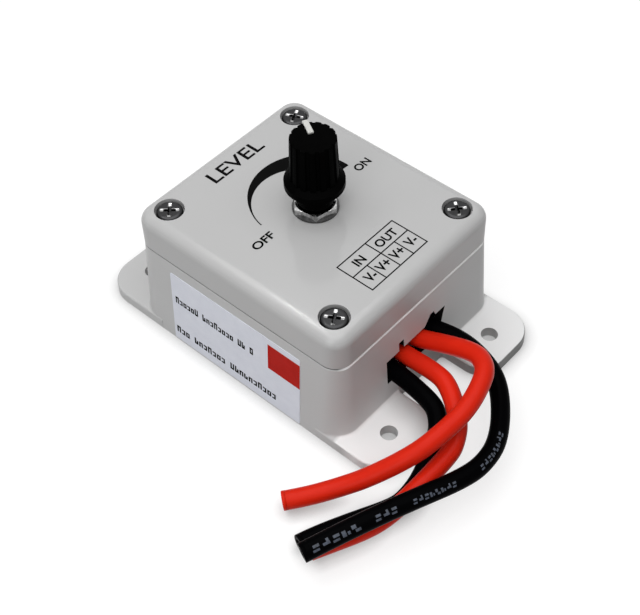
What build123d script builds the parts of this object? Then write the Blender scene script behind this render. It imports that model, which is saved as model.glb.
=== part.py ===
"""LED strip dimmer: a flanged plastic box with a rotary control, a circuit board and four wires.

Sizes are in millimetres. The origin lies under the middle of the lid, on the surface that the box
stands on. +X points to the end where the wires leave, +Y to the right of the words on the lid, +Z up.
"""
import os
from math import atan, cos, degrees, pi, radians, sin, tan

from build123d import *

# Case
LID_LENGTH = 65.0
LID_WIDTH = 57.0
LID_HEIGHT = 10.0
BASE_HEIGHT = 26.5
CORNER_RADIUS = 4.6
LID_EDGE_RADIUS = 3.2
WALL_DRAFT = 3.45  # degrees that the base walls lean out towards the floor
WALL = 2.2
FLOOR = 2.5
LID_TOP = 2.5
SEAM_BEVEL = 0.35
LIP_THICKNESS = 1.2
LIP_DEPTH = 1.6
LIP_CLEARANCE = 0.2

# Mounting ears
EAR_REACH = 15.25  # how far the ears reach past the lid's end
EAR_THICKNESS = 3.0
EAR_NOTCH = 17.0
EAR_INNER_RADIUS = 6.5
EAR_OUTER_RADIUS = 8.0
EAR_EDGE_RADIUS = 0.5
EAR_FILLET = 1.0
EAR_HOLE_DIAMETER = 4.3
EAR_HOLE_REACH = 7.75
EAR_HOLE_INSET = 8.75

# Lid screws
LID_SCREW_INSET_X = 6.4
LID_SCREW_INSET_Y = 6.3
LID_SCREW_DIAMETER = 3.0
LID_SCREW_LENGTH = 15.0
LID_SCREW_HEAD_DIAMETER = 6.6
LID_SCREW_HEAD_HEIGHT = 1.7
LID_SCREW_RECESS_DEPTH = 1.8
LID_SCREW_RECESS_GAP = 0.4
LID_SCREW_CROSS = (4.2, 0.9, 1.1)  # length, width and depth of the driving cross
LID_SCREW_TURNS = (42.0, 31.0, 50.0, 25.0)
SCREW_HOLE_GAP = 0.2
SCREW_THREAD_GAP = 0.03
POST_DIAMETER = 9.0

# Wire slot in the end wall
SLOT_SIDE_GAPS = (0.35, 1.0)
SLOT_BOTTOM = 8.4
SLOT_TOP = 16.3
SLOT_STEP = 1.1  # how much higher the slot is past its second notch
SLOT_LEAN = 1.65  # how far its last side leans out above the wires
SLOT_NOTCHES_Y = (-6.6, 5.0)
SLOT_NOTCH_WIDTH = 1.9
SLOT_NOTCH_HEIGHT = 2.7
SLOT_NOTCH_FLANKS = (2.9, 1.25)  # reach of the second notch's sloping sides from its middle
SLOT_NOTCH_TIP = 1.3

# Paper label
LABEL_END_MARGIN = 11.3
LABEL_TOP_MARGIN = 3.2
LABEL_THICKNESS = 0.15
LABEL_LIFT = 0.5
LABEL_CORNER = 0.4

# Potentiometer
CONTROL_X = 0.0
CONTROL_Y = 1.0
PLATE_DIAMETER = 16.5
PLATE_THICKNESS = 1.0
BUSH_DIAMETER = 7.0
BUSH_GAP = 0.15
BUSH_PROUD = 0.2
WASHER_DIAMETER = 11.4
WASHER_THICKNESS = 0.5
NUT_ACROSS_FLATS = 10.0
NUT_THICKNESS = 1.8
NUT_TURN = -47.0
SHAFT_DIAMETER = 6.0
SHAFT_CLEARANCE = 0.03
SHAFT_INSERT = 12.0
SHAFT_SLIT = 1.0
SHAFT_SLIT_DEPTH = 8.0
WAFER_THICKNESS = 1.2
WAFER_TONGUE_WIDTH = 13.5
WAFER_TONGUE_REACH = 12.5
COVER_DEPTH = 5.8
COVER_WALL = 0.4
TRACK_OUTER = 12.8
TRACK_WIDTH = 1.3
TRACK_THICKNESS = 0.1
TRACK_SWEEP = 300.0
ROTOR_DIAMETER = 12.0
ROTOR_THICKNESS = 2.5
ROTOR_FLOOR_GAP = 0.8
WIPER_THICKNESS = 0.3
WIPER_RING_WIDTH = 1.8
WIPER_TRACK_GAP = 0.15
WIPER_FINGER = 1.4
TERMINAL_PITCH = 5.0
TERMINAL_WIDTH = 2.0
TERMINAL_THICKNESS = 0.4
TERMINAL_LEG = 4.5
TERMINAL_SEAT = 3.0
LEAD_DIAMETER = 1.2
LEAD_LAP = 3.0

# Control knob
KNOB_GAP = 0.3
KNOB_HEIGHT = 19.2
KNOB_HUB_DIAMETER = 8.8
KNOB_HUB_HEIGHT = 4.9
KNOB_SKIRT_DIAMETER = 14.6
KNOB_SKIRT_HEIGHT = 1.6
KNOB_SKIRT_RISE = 1.2
KNOB_FOOT_DIAMETER = 12.2
KNOB_TOP_DIAMETER = 11.0
KNOB_TOP_RADIUS = 0.3
KNOB_FLUTES = 15
KNOB_FLUTE_RADIUS = 0.55
KNOB_FLUTE_DEPTH = 0.5
KNOB_FLUTE_TURN = 9.6
KNOB_BORE_END_GAP = 0.5
POINTER_WIDTH = 1.4
POINTER_START = 1.3
POINTER_OVERHANG = 0.35
POINTER_PROUD = 0.5
POINTER_SINK = 0.8
POINTER_TURN = 30.0  # degrees clockwise from the top of the words, seen from above

# Wires
WIRE_DIAMETER = 4.6
CORE_DIAMETER = 2.3
CORE_LAP = 5.5
WIRE_INSIDE = 8.0
WIRE_STRAIGHT_INSIDE = 1.5
WIRE_EXIT_Z = 12.6
WIRE_GAP = 0.3
WIRE_ROW_Y = -2.2  # middle of the row in which the wires leave
WIRE_ARC_SHARE = 0.45
WIRE_ROUTES = {  # from the lid's end outwards
    "in_negative": [
        (5.2, -9.7, 11.5), (13.0, -10.7, 10.3), (16.0, -12.2, 9.7), (18.8, -15.4, 8.3),
        (22.0, -25.0, 4.6), (22.2, -31.6, 2.9), (21.1, -35.3, 2.5), (16.9, -43.2, 2.4),
        (12.9, -51.5, 2.4), (11.5, -55.5, 2.4),
    ],
    "in_positive": [
        (10.2, -4.4, 13.9), (14.8, -6.1, 13.8), (21.9, -11.9, 12.2), (24.6, -16.9, 10.9),
        (25.1, -20.2, 10.0), (24.2, -31.9, 7.4), (23.1, -39.5, 5.9), (21.2, -44.7, 5.3),
        (17.9, -51.2, 5.1), (15.4, -56.2, 5.1),
    ],
    "out_positive": [
        (7.0, 2.0, 15.2), (15.8, 1.9, 19.0), (19.6, -0.1, 19.9), (22.0, -3.3, 20.1),
        (24.1, -12.0, 19.1), (23.2, -20.0, 17.4), (20.9, -26.9, 14.4), (14.5, -35.0, 8.4),
        (9.7, -40.1, 5.4), (5.5, -45.6, 4.2), (1.6, -50.1, 3.6),
    ],
    "out_negative": [
        (7.9, 7.7, 12.3), (17.3, 6.5, 10.7), (23.6, 2.2, 9.6), (30.8, -8.1, 9.1),
        (32.3, -16.4, 9.5), (31.0, -23.5, 10.2), (26.8, -34.6, 11.3), (23.7, -41.8, 11.0),
        (19.4, -51.0, 10.5), (16.0, -59.5, 9.8),
    ],
}

# Circuit board and what stands on it
BOARD_THICKNESS = 1.6
BOARD_SIDE_INSET = 11.5
BOARD_BACK_X = -22.0
BOARD_WIRE_GAP = 0.3
BOARD_CORNER = 1.0
BOARD_SCREW_X = (-18.5, 14.5)
BOARD_SCREW_INSET = 3.2
BOARD_SCREW_DIAMETER = 2.0
BOARD_SCREW_LENGTH = 6.0
BOARD_SCREW_HEAD_DIAMETER = 3.8
BOARD_SCREW_HEAD_HEIGHT = 1.4
BOARD_SCREW_CROSS = (2.2, 0.6, 0.7)
BOSS_DIAMETER = 5.6
CHIP_SIZE = (9.8, 6.4, 3.3)
CHIP_STAND = 0.6
CHIP_PLACE = (5.0, 1.0)
CHIP_PINS_A_SIDE = 4
CHIP_PIN_PITCH = 2.54
CHIP_PIN_SIZE = (0.5, 0.3, 2.4)
CHIP_MARK_RADIUS = 0.8
TRANSISTOR_BODY = (4.5, 10.0, 9.0)
TRANSISTOR_TAB = (1.3, 10.0, 6.5)
TRANSISTOR_LEG = (0.5, 0.9, 3.5)
TRANSISTOR_LEG_PITCH = 2.54
TRANSISTOR_HOLE = 3.6
TRANSISTOR_PLACE = (-19.0, -3.0)
CAN_DIAMETER = 10.0
CAN_HEIGHT = 15.0
CAN_EDGE = 0.7
CAN_X = 6.0
CAN_SIDE_INSET = 0.5
DISC_DIAMETER = 5.0
DISC_THICKNESS = 2.4
DISC_STAND = 1.0
DISC_PLACE = (14.0, 2.7)
DISC_LEG_PITCH = 2.5
RESISTOR_DIAMETER = 2.4
RESISTOR_LENGTH = 6.2
RESISTOR_SPAN = 10.0
RESISTOR_PLACES = ((-6.0, 8.4), (-6.0, 5.0), (5.0, 5.0))  # along the board, and in from its side
DIODE_DIAMETER = 2.7
DIODE_LENGTH = 5.2
DIODE_X = -8.0
DIODE_SIDE_INSET = 5.0
COMPONENT_LEG = 0.7
COMPONENT_STAND = 0.5

# Worked out from the sizes above
EAR_SPAN = LID_LENGTH + 2 * EAR_REACH
EAR_HOLE_PITCH_X = LID_LENGTH + 2 * EAR_HOLE_REACH
EAR_HOLE_PITCH_Y = LID_WIDTH - 2 * EAR_HOLE_INSET
LID_SCREW_PITCH_X = LID_LENGTH - 2 * LID_SCREW_INSET_X
LID_SCREW_PITCH_Y = LID_WIDTH - 2 * LID_SCREW_INSET_Y
LABEL_LENGTH = LID_LENGTH - 2 * LABEL_END_MARGIN
LABEL_HEIGHT = BASE_HEIGHT - LABEL_LIFT - LABEL_TOP_MARGIN
WIRE_START_X = LID_LENGTH / 2 - WIRE_INSIDE
WIRE_WALL_X = LID_LENGTH / 2 - WIRE_STRAIGHT_INSIDE
BOARD_WIDTH = LID_WIDTH - 2 * BOARD_SIDE_INSET
BOARD_SCREW_Y = BOARD_WIDTH / 2 - BOARD_SCREW_INSET
CAN_Y = CAN_SIDE_INSET + CAN_DIAMETER / 2 - BOARD_WIDTH / 2
DIODE_Y = DIODE_SIDE_INSET - BOARD_WIDTH / 2
TRACK_INNER = TRACK_OUTER - 2 * TRACK_WIDTH
CASE_HEIGHT = BASE_HEIGHT + LID_HEIGHT
LID_UNDERSIDE = CASE_HEIGHT - LID_TOP
BUSH_TOP = CASE_HEIGHT + WASHER_THICKNESS + NUT_THICKNESS + BUSH_PROUD
WAFER_TOP = LID_UNDERSIDE - PLATE_THICKNESS
WAFER_BOTTOM = WAFER_TOP - WAFER_THICKNESS
COVER_FLOOR = WAFER_BOTTOM - COVER_DEPTH
ROTOR_BOTTOM = COVER_FLOOR + COVER_WALL + ROTOR_FLOOR_GAP
ROTOR_TOP = ROTOR_BOTTOM + ROTOR_THICKNESS
KNOB_BOTTOM = BUSH_TOP + KNOB_GAP
KNOB_TOP = KNOB_BOTTOM + KNOB_HEIGHT
SHAFT_TOP = KNOB_BOTTOM + SHAFT_INSERT
BOARD_TOP = WIRE_EXIT_Z - CORE_DIAMETER / 2
BOARD_BOTTOM = BOARD_TOP - BOARD_THICKNESS
BOARD_FRONT_X = WIRE_START_X - BOARD_WIRE_GAP
LID_SCREW_SEAT = CASE_HEIGHT - LID_SCREW_RECESS_DEPTH
TERMINAL_X = CONTROL_X - WAFER_TONGUE_REACH
WIRE_PITCH = WIRE_DIAMETER + WIRE_GAP
WIRE_ROW_WIDTH = len(WIRE_ROUTES) * WIRE_PITCH - WIRE_GAP
ON_CONTROL = Pos(CONTROL_X, CONTROL_Y, 0)
BLEND = 0.5  # how far fused pieces run into each other, and cuts run past a face
NEAR = 0.05  # how close two places are when they count as the same
SCREW_HEAD_ROUND = 0.55  # share of a screw head's height that is rounded
SOFT_EDGE = 1 / 3  # rounding of a small component's edge, as a share of its thickness or radius


def corners(pitch_x, pitch_y):
    """The four corners of a rectangle, anticlockwise from the far left."""
    signs = ((-1, -1), (1, -1), (1, 1), (-1, 1))
    return [(sx * pitch_x / 2, sy * pitch_y / 2) for sx, sy in signs]


def cylinder(diameter, bottom, top, x=0.0, y=0.0):
    """An upright cylinder between two heights."""
    return Pos(x, y, bottom) * extrude(Circle(diameter / 2), top - bottom)


def block(size, x, y, bottom):
    """An upright box with its foot centred on a point."""
    length, width, height = size
    return Pos(x, y, bottom) * extrude(Rectangle(length, width), height)


def wall_profile(height, inset):
    """Outline of the drafted base wall at a height, moved inwards by an inset."""
    spread = (BASE_HEIGHT - height) * tan(radians(WALL_DRAFT)) - inset
    radius = max(CORNER_RADIUS + spread, BLEND)
    return RectangleRounded(LID_LENGTH + 2 * spread, LID_WIDTH + 2 * spread, radius)


def wall_prism(bottom, top, inset):
    """The solid inside the drafted wall between two heights."""
    return Pos(0, 0, bottom) * extrude(wall_profile(bottom, inset), top - bottom, taper=WALL_DRAFT)


def ear(side_x, side_y):
    """One mounting lobe: a flat plate with two rounded outer corners and a screw hole."""
    inner = EAR_NOTCH / 2
    outer = LID_WIDTH / 2 + BASE_HEIGHT * tan(radians(WALL_DRAFT))
    root = LID_SCREW_PITCH_X / 2
    reach = EAR_SPAN / 2
    plate = Polyline((root, inner), (reach, inner), (reach, outer), (root, outer), close=True)
    outline = make_face(plate)
    tips = outline.vertices().sort_by(Axis.X)[-2:].sort_by(Axis.Y)
    outline = fillet(tips[1], EAR_OUTER_RADIUS)
    tips = outline.vertices().filter_by(lambda v: abs(v.X - reach) < BLEND and abs(v.Y - inner) < BLEND)
    outline = fillet(tips, EAR_INNER_RADIUS)
    solid = extrude(outline, EAR_THICKNESS)
    rim = solid.faces().sort_by(Axis.Z)[-1].edges().filter_by(lambda e: e.center().X > root + BLEND)
    solid = fillet(rim, EAR_EDGE_RADIUS)
    hole_x, hole_y = EAR_HOLE_PITCH_X / 2, EAR_HOLE_PITCH_Y / 2
    solid -= cylinder(EAR_HOLE_DIAMETER, -BLEND, EAR_THICKNESS + BLEND, hole_x, hole_y)
    if side_x < 0:
        solid = mirror(solid, about=Plane.YZ)
    if side_y < 0:
        solid = mirror(solid, about=Plane.XZ)
    return solid


def wire_slot():
    """The sawn cut in the end wall: a slot for the row of wires, stepped at one end, with two notches."""
    left = WIRE_ROW_Y - WIRE_ROW_WIDTH / 2 - SLOT_SIDE_GAPS[0]
    right = WIRE_ROW_Y + WIRE_ROW_WIDTH / 2 + SLOT_SIDE_GAPS[1]
    first, second = SLOT_NOTCHES_Y
    half, half_tip = SLOT_NOTCH_WIDTH / 2, SLOT_NOTCH_TIP / 2
    rise, fall = SLOT_NOTCH_FLANKS
    step = SLOT_TOP + SLOT_STEP
    tip = SLOT_TOP + SLOT_NOTCH_HEIGHT
    outline = Polyline(
        (left, SLOT_BOTTOM), (right, SLOT_BOTTOM), (right, WIRE_EXIT_Z), (right + SLOT_LEAN, step),
        (second + fall, step), (second + half_tip, tip), (second - half_tip, tip), (second - rise, SLOT_TOP),
        (first + half, SLOT_TOP), (first + half, tip), (first - half, tip), (first - half, SLOT_TOP),
        (left, SLOT_TOP), close=True)
    start = LID_LENGTH / 2 - WALL - BLEND
    face = Plane(origin=(start, 0, 0), x_dir=(0, 1, 0), z_dir=(1, 0, 0))
    return extrude(face * make_face(outline), LID_LENGTH)


def lower_case():
    """The moulded box: drafted walls, corner posts, board bosses, ears and the wire slot."""
    outer = wall_prism(0, BASE_HEIGHT, 0)
    outer = chamfer(outer.faces().sort_by(Axis.Z)[-1].edges(), SEAM_BEVEL)
    ears = [ear(sx, sy) for sx in (-1, 1) for sy in (-1, 1)]
    flanged = outer + ears
    seams = [e for e in flanged.edges() if is_ear_seam(e)]
    flanged = fillet(seams, EAR_FILLET)
    hollow = wall_prism(FLOOR, BASE_HEIGHT + BLEND, WALL)
    case = flanged - hollow
    for x, y in corners(LID_SCREW_PITCH_X, LID_SCREW_PITCH_Y):
        post = cylinder(POST_DIAMETER, FLOOR - BLEND, BASE_HEIGHT, x, y)
        case += post & outer
    thread = LID_SCREW_DIAMETER + 2 * SCREW_THREAD_GAP
    depth = LID_SCREW_SEAT - LID_SCREW_LENGTH - LID_SCREW_DIAMETER
    for x, y in corners(LID_SCREW_PITCH_X, LID_SCREW_PITCH_Y):
        case -= cylinder(thread, depth, BASE_HEIGHT + BLEND, x, y)
    for x, y in board_screw_places():
        case += cylinder(BOSS_DIAMETER, FLOOR - BLEND, BOARD_BOTTOM, x, y)
        pilot = BOARD_SCREW_DIAMETER + 2 * SCREW_THREAD_GAP
        case -= cylinder(pilot, FLOOR, BOARD_BOTTOM + BLEND, x, y)
    return case - wire_slot()


def is_ear_seam(edge):
    """True for a straight edge where an ear's top meets the end wall."""
    middle = edge.center()
    level = abs(middle.Z - EAR_THICKNESS) < NEAR and edge.geom_type == GeomType.LINE
    across = abs((edge @ 1).X - (edge @ 0).X) < NEAR
    wall_x = LID_LENGTH / 2 + (BASE_HEIGHT - EAR_THICKNESS) * tan(radians(WALL_DRAFT))
    return level and across and abs(abs(middle.X) - wall_x) < NEAR


def lid():
    """The cover: rounded top edges, hollow inside, screw pillars, a locating lip and the bush hole."""
    outline = RectangleRounded(LID_LENGTH, LID_WIDTH, CORNER_RADIUS)
    outer = Pos(0, 0, BASE_HEIGHT) * extrude(outline, LID_HEIGHT)
    outer = fillet(outer.faces().sort_by(Axis.Z)[-1].edges(), LID_EDGE_RADIUS)
    outer = chamfer(outer.faces().sort_by(Axis.Z)[0].edges(), SEAM_BEVEL)
    pocket = RectangleRounded(LID_LENGTH - 2 * WALL, LID_WIDTH - 2 * WALL, CORNER_RADIUS - WALL)
    cover = outer - Pos(0, 0, BASE_HEIGHT - BLEND) * extrude(pocket, LID_HEIGHT - LID_TOP + BLEND)
    cover += lid_lip()
    hole = LID_SCREW_DIAMETER + 2 * SCREW_HOLE_GAP
    recess = LID_SCREW_HEAD_DIAMETER + 2 * LID_SCREW_RECESS_GAP
    for x, y in corners(LID_SCREW_PITCH_X, LID_SCREW_PITCH_Y):
        cover += cylinder(POST_DIAMETER, BASE_HEIGHT, CASE_HEIGHT, x, y) & outer
        cover -= cylinder(hole, BASE_HEIGHT - BLEND, CASE_HEIGHT + BLEND, x, y)
        cover -= cylinder(recess, LID_SCREW_SEAT, CASE_HEIGHT + BLEND, x, y)
    bore = cylinder(BUSH_DIAMETER + 2 * BUSH_GAP, LID_UNDERSIDE - BLEND, CASE_HEIGHT + BLEND)
    return cover - ON_CONTROL * bore


def lid_lip():
    """The ring under the lid that locates it inside the base, broken at the corner posts."""
    outside = WALL + LIP_CLEARANCE
    inside = outside + LIP_THICKNESS
    foot = BASE_HEIGHT - LIP_DEPTH
    hollow = Pos(0, 0, foot - BLEND) * extrude(wall_profile(BASE_HEIGHT, inside), 2 * LIP_DEPTH + 2 * BLEND)
    ring = Pos(0, 0, foot) * extrude(wall_profile(BASE_HEIGHT, outside), 2 * LIP_DEPTH)
    root_outline = wall_profile(BASE_HEIGHT, WALL / 2)
    root = Pos(0, 0, BASE_HEIGHT + SEAM_BEVEL) * extrude(root_outline, LIP_DEPTH - SEAM_BEVEL)
    lip = ring + root - hollow
    for x, y in corners(LID_SCREW_PITCH_X, LID_SCREW_PITCH_Y):
        lip -= cylinder(POST_DIAMETER + 2 * LIP_CLEARANCE, foot - BLEND, BASE_HEIGHT, x, y)
    return lip


def cross_screw(diameter, length, head_diameter, head_height, cross):
    """A pan-head screw with a driving cross; its head's underside is at z = 0."""
    head = cylinder(head_diameter, 0, head_height)
    head = fillet(head.faces().sort_by(Axis.Z)[-1].edges(), SCREW_HEAD_ROUND * head_height)
    span, width, depth = cross
    for size in ((span, width, depth), (width, span, depth)):
        head -= block(size, 0, 0, head_height - depth)
    return head + cylinder(diameter, -length, BLEND / 2)


def board_screw_places():
    """Where the board is fastened to its bosses."""
    return [(x, sy * BOARD_SCREW_Y) for x in BOARD_SCREW_X for sy in (-1, 1)]


def rating_label():
    """The paper label on the drafted long side."""
    slope = radians(WALL_DRAFT)
    middle = LABEL_LIFT + LABEL_HEIGHT / 2 * cos(slope)
    y = LID_WIDTH / 2 + (BASE_HEIGHT - middle) * tan(slope)
    face = Plane(origin=(0, -y, middle), x_dir=(1, 0, 0), z_dir=(0, -cos(slope), sin(slope)))
    return extrude(face * RectangleRounded(LABEL_LENGTH, LABEL_HEIGHT, LABEL_CORNER), LABEL_THICKNESS)


def pot_bushing():
    """Front plate of the potentiometer with its neck through the lid."""
    plate = cylinder(PLATE_DIAMETER, WAFER_TOP, LID_UNDERSIDE)
    neck = cylinder(BUSH_DIAMETER, WAFER_TOP, BUSH_TOP)
    neck = chamfer(neck.faces().sort_by(Axis.Z)[-1].edges(), BUSH_PROUD)
    bore = cylinder(SHAFT_DIAMETER + 2 * SHAFT_CLEARANCE, WAFER_TOP - BLEND, BUSH_TOP + BLEND)
    return ON_CONTROL * (plate + neck - bore)


def pot_wafer():
    """The insulating disc that carries the track, with a tongue for the terminals."""
    disc = cylinder(PLATE_DIAMETER, WAFER_BOTTOM, WAFER_TOP)
    size = (WAFER_TONGUE_REACH, WAFER_TONGUE_WIDTH, WAFER_THICKNESS)
    tongue = block(size, -WAFER_TONGUE_REACH / 2, 0, WAFER_BOTTOM)
    bore = cylinder(SHAFT_DIAMETER + 2 * BUSH_GAP, WAFER_BOTTOM - BLEND, WAFER_TOP + BLEND)
    return ON_CONTROL * (disc + tongue - bore)


def pot_track():
    """The carbon track: a thin ring with a gap under the terminals."""
    gap = (360 - TRACK_SWEEP) / 2
    bottom = WAFER_BOTTOM - TRACK_THICKNESS
    ring = cylinder(TRACK_OUTER, bottom, WAFER_BOTTOM) - cylinder(TRACK_INNER, bottom - BLEND, WAFER_TOP)
    reach = TRACK_OUTER
    tip = reach * tan(radians(gap))
    wedge = make_face(Polyline((0, 0), (-reach, tip), (-reach, -tip), close=True))
    return ON_CONTROL * (ring - Pos(0, 0, bottom - BLEND) * extrude(wedge, 2 * BLEND + TRACK_THICKNESS))


def pot_cover():
    """The pressed cup over the back of the potentiometer."""
    cup = cylinder(PLATE_DIAMETER, COVER_FLOOR, WAFER_BOTTOM)
    cup = fillet(cup.faces().sort_by(Axis.Z)[0].edges(), COVER_WALL)
    inside = cylinder(PLATE_DIAMETER - 2 * COVER_WALL, COVER_FLOOR + COVER_WALL, WAFER_BOTTOM + BLEND)
    return ON_CONTROL * (cup - inside)


def pot_terminal(index):
    """One terminal: flat on the tongue's upper face, then bent down past its end."""
    y = CONTROL_Y + (index - 1) * TERMINAL_PITCH
    length = TERMINAL_SEAT + TERMINAL_THICKNESS
    seat_size = (length, TERMINAL_WIDTH, TERMINAL_THICKNESS)
    seat = block(seat_size, TERMINAL_X + length / 2 - TERMINAL_THICKNESS, y, WAFER_TOP)
    top = WAFER_TOP + TERMINAL_THICKNESS
    leg_size = (TERMINAL_THICKNESS, TERMINAL_WIDTH, TERMINAL_LEG)
    leg = block(leg_size, TERMINAL_X - TERMINAL_THICKNESS / 2, y, top - TERMINAL_LEG)
    return seat + leg


def pot_lead(index):
    """A straight lead from a terminal's leg down to the board."""
    y = CONTROL_Y + (index - 1) * TERMINAL_PITCH
    x = TERMINAL_X - TERMINAL_THICKNESS - LEAD_DIAMETER / 2
    top = WAFER_TOP + TERMINAL_THICKNESS - TERMINAL_LEG + LEAD_LAP
    return cylinder(LEAD_DIAMETER, BOARD_TOP, top, x, y)


def pot_washer():
    """The plain washer between the lid and the nut."""
    top = CASE_HEIGHT + WASHER_THICKNESS
    ring = cylinder(WASHER_DIAMETER, CASE_HEIGHT, top)
    return ON_CONTROL * (ring - cylinder(BUSH_DIAMETER + 2 * BUSH_GAP, CASE_HEIGHT - BLEND, top + BLEND))


def pot_nut():
    """The hexagon nut on the bush, chamfered on top."""
    bottom = CASE_HEIGHT + WASHER_THICKNESS
    across_corners = NUT_ACROSS_FLATS / cos(radians(30))
    hexagon = extrude(RegularPolygon(across_corners / 2, 6), NUT_THICKNESS)
    drop = (across_corners - NUT_ACROSS_FLATS) / 2
    turned = Pos(0, 0, NUT_THICKNESS / 2) * Cylinder(across_corners / 2, NUT_THICKNESS)
    turned = chamfer(turned.faces().sort_by(Axis.Z)[-1].edges(), drop * tan(radians(30)), drop)
    nut = Pos(0, 0, bottom) * Rot(0, 0, NUT_TURN) * (hexagon & turned)
    bore = cylinder(BUSH_DIAMETER + 2 * SCREW_THREAD_GAP, bottom - BLEND, bottom + NUT_THICKNESS + BLEND)
    return ON_CONTROL * (nut - bore)


def pot_shaft():
    """The turning shaft, slit at its top end."""
    rod = cylinder(SHAFT_DIAMETER, ROTOR_BOTTOM, SHAFT_TOP)
    slit = (SHAFT_SLIT, SHAFT_DIAMETER + BLEND, SHAFT_SLIT_DEPTH + BLEND)
    return ON_CONTROL * (rod - block(slit, 0, 0, SHAFT_TOP - SHAFT_SLIT_DEPTH))


def wiper_rotor():
    """The moulded disc on the shaft's inner end."""
    disc = cylinder(ROTOR_DIAMETER, ROTOR_BOTTOM, ROTOR_TOP)
    bore = cylinder(SHAFT_DIAMETER + 2 * SHAFT_CLEARANCE, ROTOR_BOTTOM - BLEND, ROTOR_TOP + BLEND)
    return ON_CONTROL * (disc - bore)


def wiper_contact():
    """The springy ring on the rotor, with a finger that reaches up to the track."""
    outer = TRACK_OUTER - WIPER_RING_WIDTH + WIPER_FINGER / 2
    ring = cylinder(outer, ROTOR_TOP, ROTOR_TOP + WIPER_THICKNESS)
    ring -= cylinder(outer - 2 * WIPER_RING_WIDTH, ROTOR_TOP - BLEND, ROTOR_TOP + BLEND)
    tip = WAFER_BOTTOM - TRACK_THICKNESS - WIPER_TRACK_GAP
    radius = (TRACK_OUTER + TRACK_INNER) / 4
    finger = cylinder(WIPER_FINGER, ROTOR_TOP, tip, radius - WIPER_FINGER / 2, 0)
    finger = fillet(finger.faces().sort_by(Axis.Z)[-1].edges(), SOFT_EDGE * WIPER_FINGER)
    return ON_CONTROL * Rot(0, 0, 180 - POINTER_TURN) * (ring + finger)


def control_knob():
    """The fluted knob: a tapered grip, a skirt below it and a hub that reaches down to the bush."""
    skirt_bottom = KNOB_BOTTOM + KNOB_HUB_HEIGHT
    skirt_top = skirt_bottom + KNOB_SKIRT_HEIGHT
    grip_foot = skirt_top + KNOB_SKIRT_RISE
    foot, top = KNOB_FOOT_DIAMETER / 2, KNOB_TOP_DIAMETER / 2
    grip = extrude_taper(foot, top, skirt_bottom, KNOB_TOP)
    grip = fillet(grip.faces().sort_by(Axis.Z)[-1].edges(), KNOB_TOP_RADIUS)
    lean = degrees(atan((foot - top) / (KNOB_TOP - skirt_bottom)))
    middle = (skirt_bottom + KNOB_TOP) / 2
    offset = (foot + top) / 2 + KNOB_FLUTE_RADIUS - KNOB_FLUTE_DEPTH
    tool = Pos(offset, 0, middle) * Rot(0, -lean, 0) * Cylinder(KNOB_FLUTE_RADIUS, 2 * KNOB_HEIGHT)
    for index in range(KNOB_FLUTES):
        grip -= Rot(0, 0, KNOB_FLUTE_TURN + index * 360 / KNOB_FLUTES) * tool
    flange = skirt(skirt_bottom, skirt_top, grip_foot)
    hub = cylinder(KNOB_HUB_DIAMETER, KNOB_BOTTOM, skirt_bottom + BLEND)
    bore_top = SHAFT_TOP + KNOB_BORE_END_GAP
    bore = cylinder(SHAFT_DIAMETER + 2 * SHAFT_CLEARANCE, KNOB_BOTTOM - BLEND, bore_top)
    solid = grip + flange + hub - bore
    return ON_CONTROL * solid - knob_pointer()


def extrude_taper(foot, top, bottom, end):
    """A plain tapered round bar between two heights."""
    height = end - bottom
    return Pos(0, 0, bottom + height / 2) * Cone(foot, top, height)


def skirt(bottom, top, crown):
    """The knob's flange: a short upright edge with a sloping shoulder up to the grip."""
    rim = KNOB_SKIRT_DIAMETER / 2
    inner = KNOB_FOOT_DIAMETER / 2 - KNOB_FLUTE_DEPTH
    outline = Polyline((0, bottom), (rim, bottom), (rim, top), (inner, crown), (0, crown), close=True)
    return revolve(make_face(Plane.XZ * outline), Axis.Z)


def knob_pointer():
    """The pale bar let into the knob's top, from near its middle to just past its edge."""
    length = KNOB_TOP_DIAMETER / 2 + POINTER_OVERHANG - POINTER_START
    size = (length, POINTER_WIDTH, POINTER_PROUD + POINTER_SINK)
    bar = block(size, POINTER_START + length / 2, 0, KNOB_TOP - POINTER_SINK)
    bar = fillet(bar.faces().sort_by(Axis.Z)[-1].edges(), POINTER_PROUD / 2)
    return ON_CONTROL * Rot(0, 0, 180 - POINTER_TURN) * bar


def circuit_board():
    """The board on its bosses, its front edge just behind the wires' insulation."""
    length = BOARD_FRONT_X - BOARD_BACK_X
    middle = (BOARD_FRONT_X + BOARD_BACK_X) / 2
    outline = RectangleRounded(length, BOARD_WIDTH, BOARD_CORNER)
    board = Pos(middle, 0, BOARD_BOTTOM) * extrude(outline, BOARD_THICKNESS)
    hole = BOARD_SCREW_DIAMETER + 2 * SCREW_HOLE_GAP
    for x, y in board_screw_places():
        board -= cylinder(hole, BOARD_BOTTOM - BLEND, BOARD_TOP + BLEND, x, y)
    return board


def timer_chip():
    """A package with two rows of pins and the dimple that marks its first pin."""
    length, width, height = CHIP_SIZE
    x, y = CHIP_PLACE
    bottom = BOARD_TOP + CHIP_STAND
    top = bottom + height
    body = block(CHIP_SIZE, x, y, bottom)
    body -= cylinder(2 * CHIP_MARK_RADIUS, top - CHIP_MARK_RADIUS / 2, top + BLEND, x - length / 2, y)
    pin_width, pin_thickness, pin_height = CHIP_PIN_SIZE
    for column in range(CHIP_PINS_A_SIDE):
        pin_x = x + (column - (CHIP_PINS_A_SIDE - 1) / 2) * CHIP_PIN_PITCH
        for side in (-1, 1):
            pin_y = y + side * (width / 2 + pin_thickness / 2)
            body += block((pin_width, pin_thickness, pin_height), pin_x, pin_y, BOARD_TOP)
    return body


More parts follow.
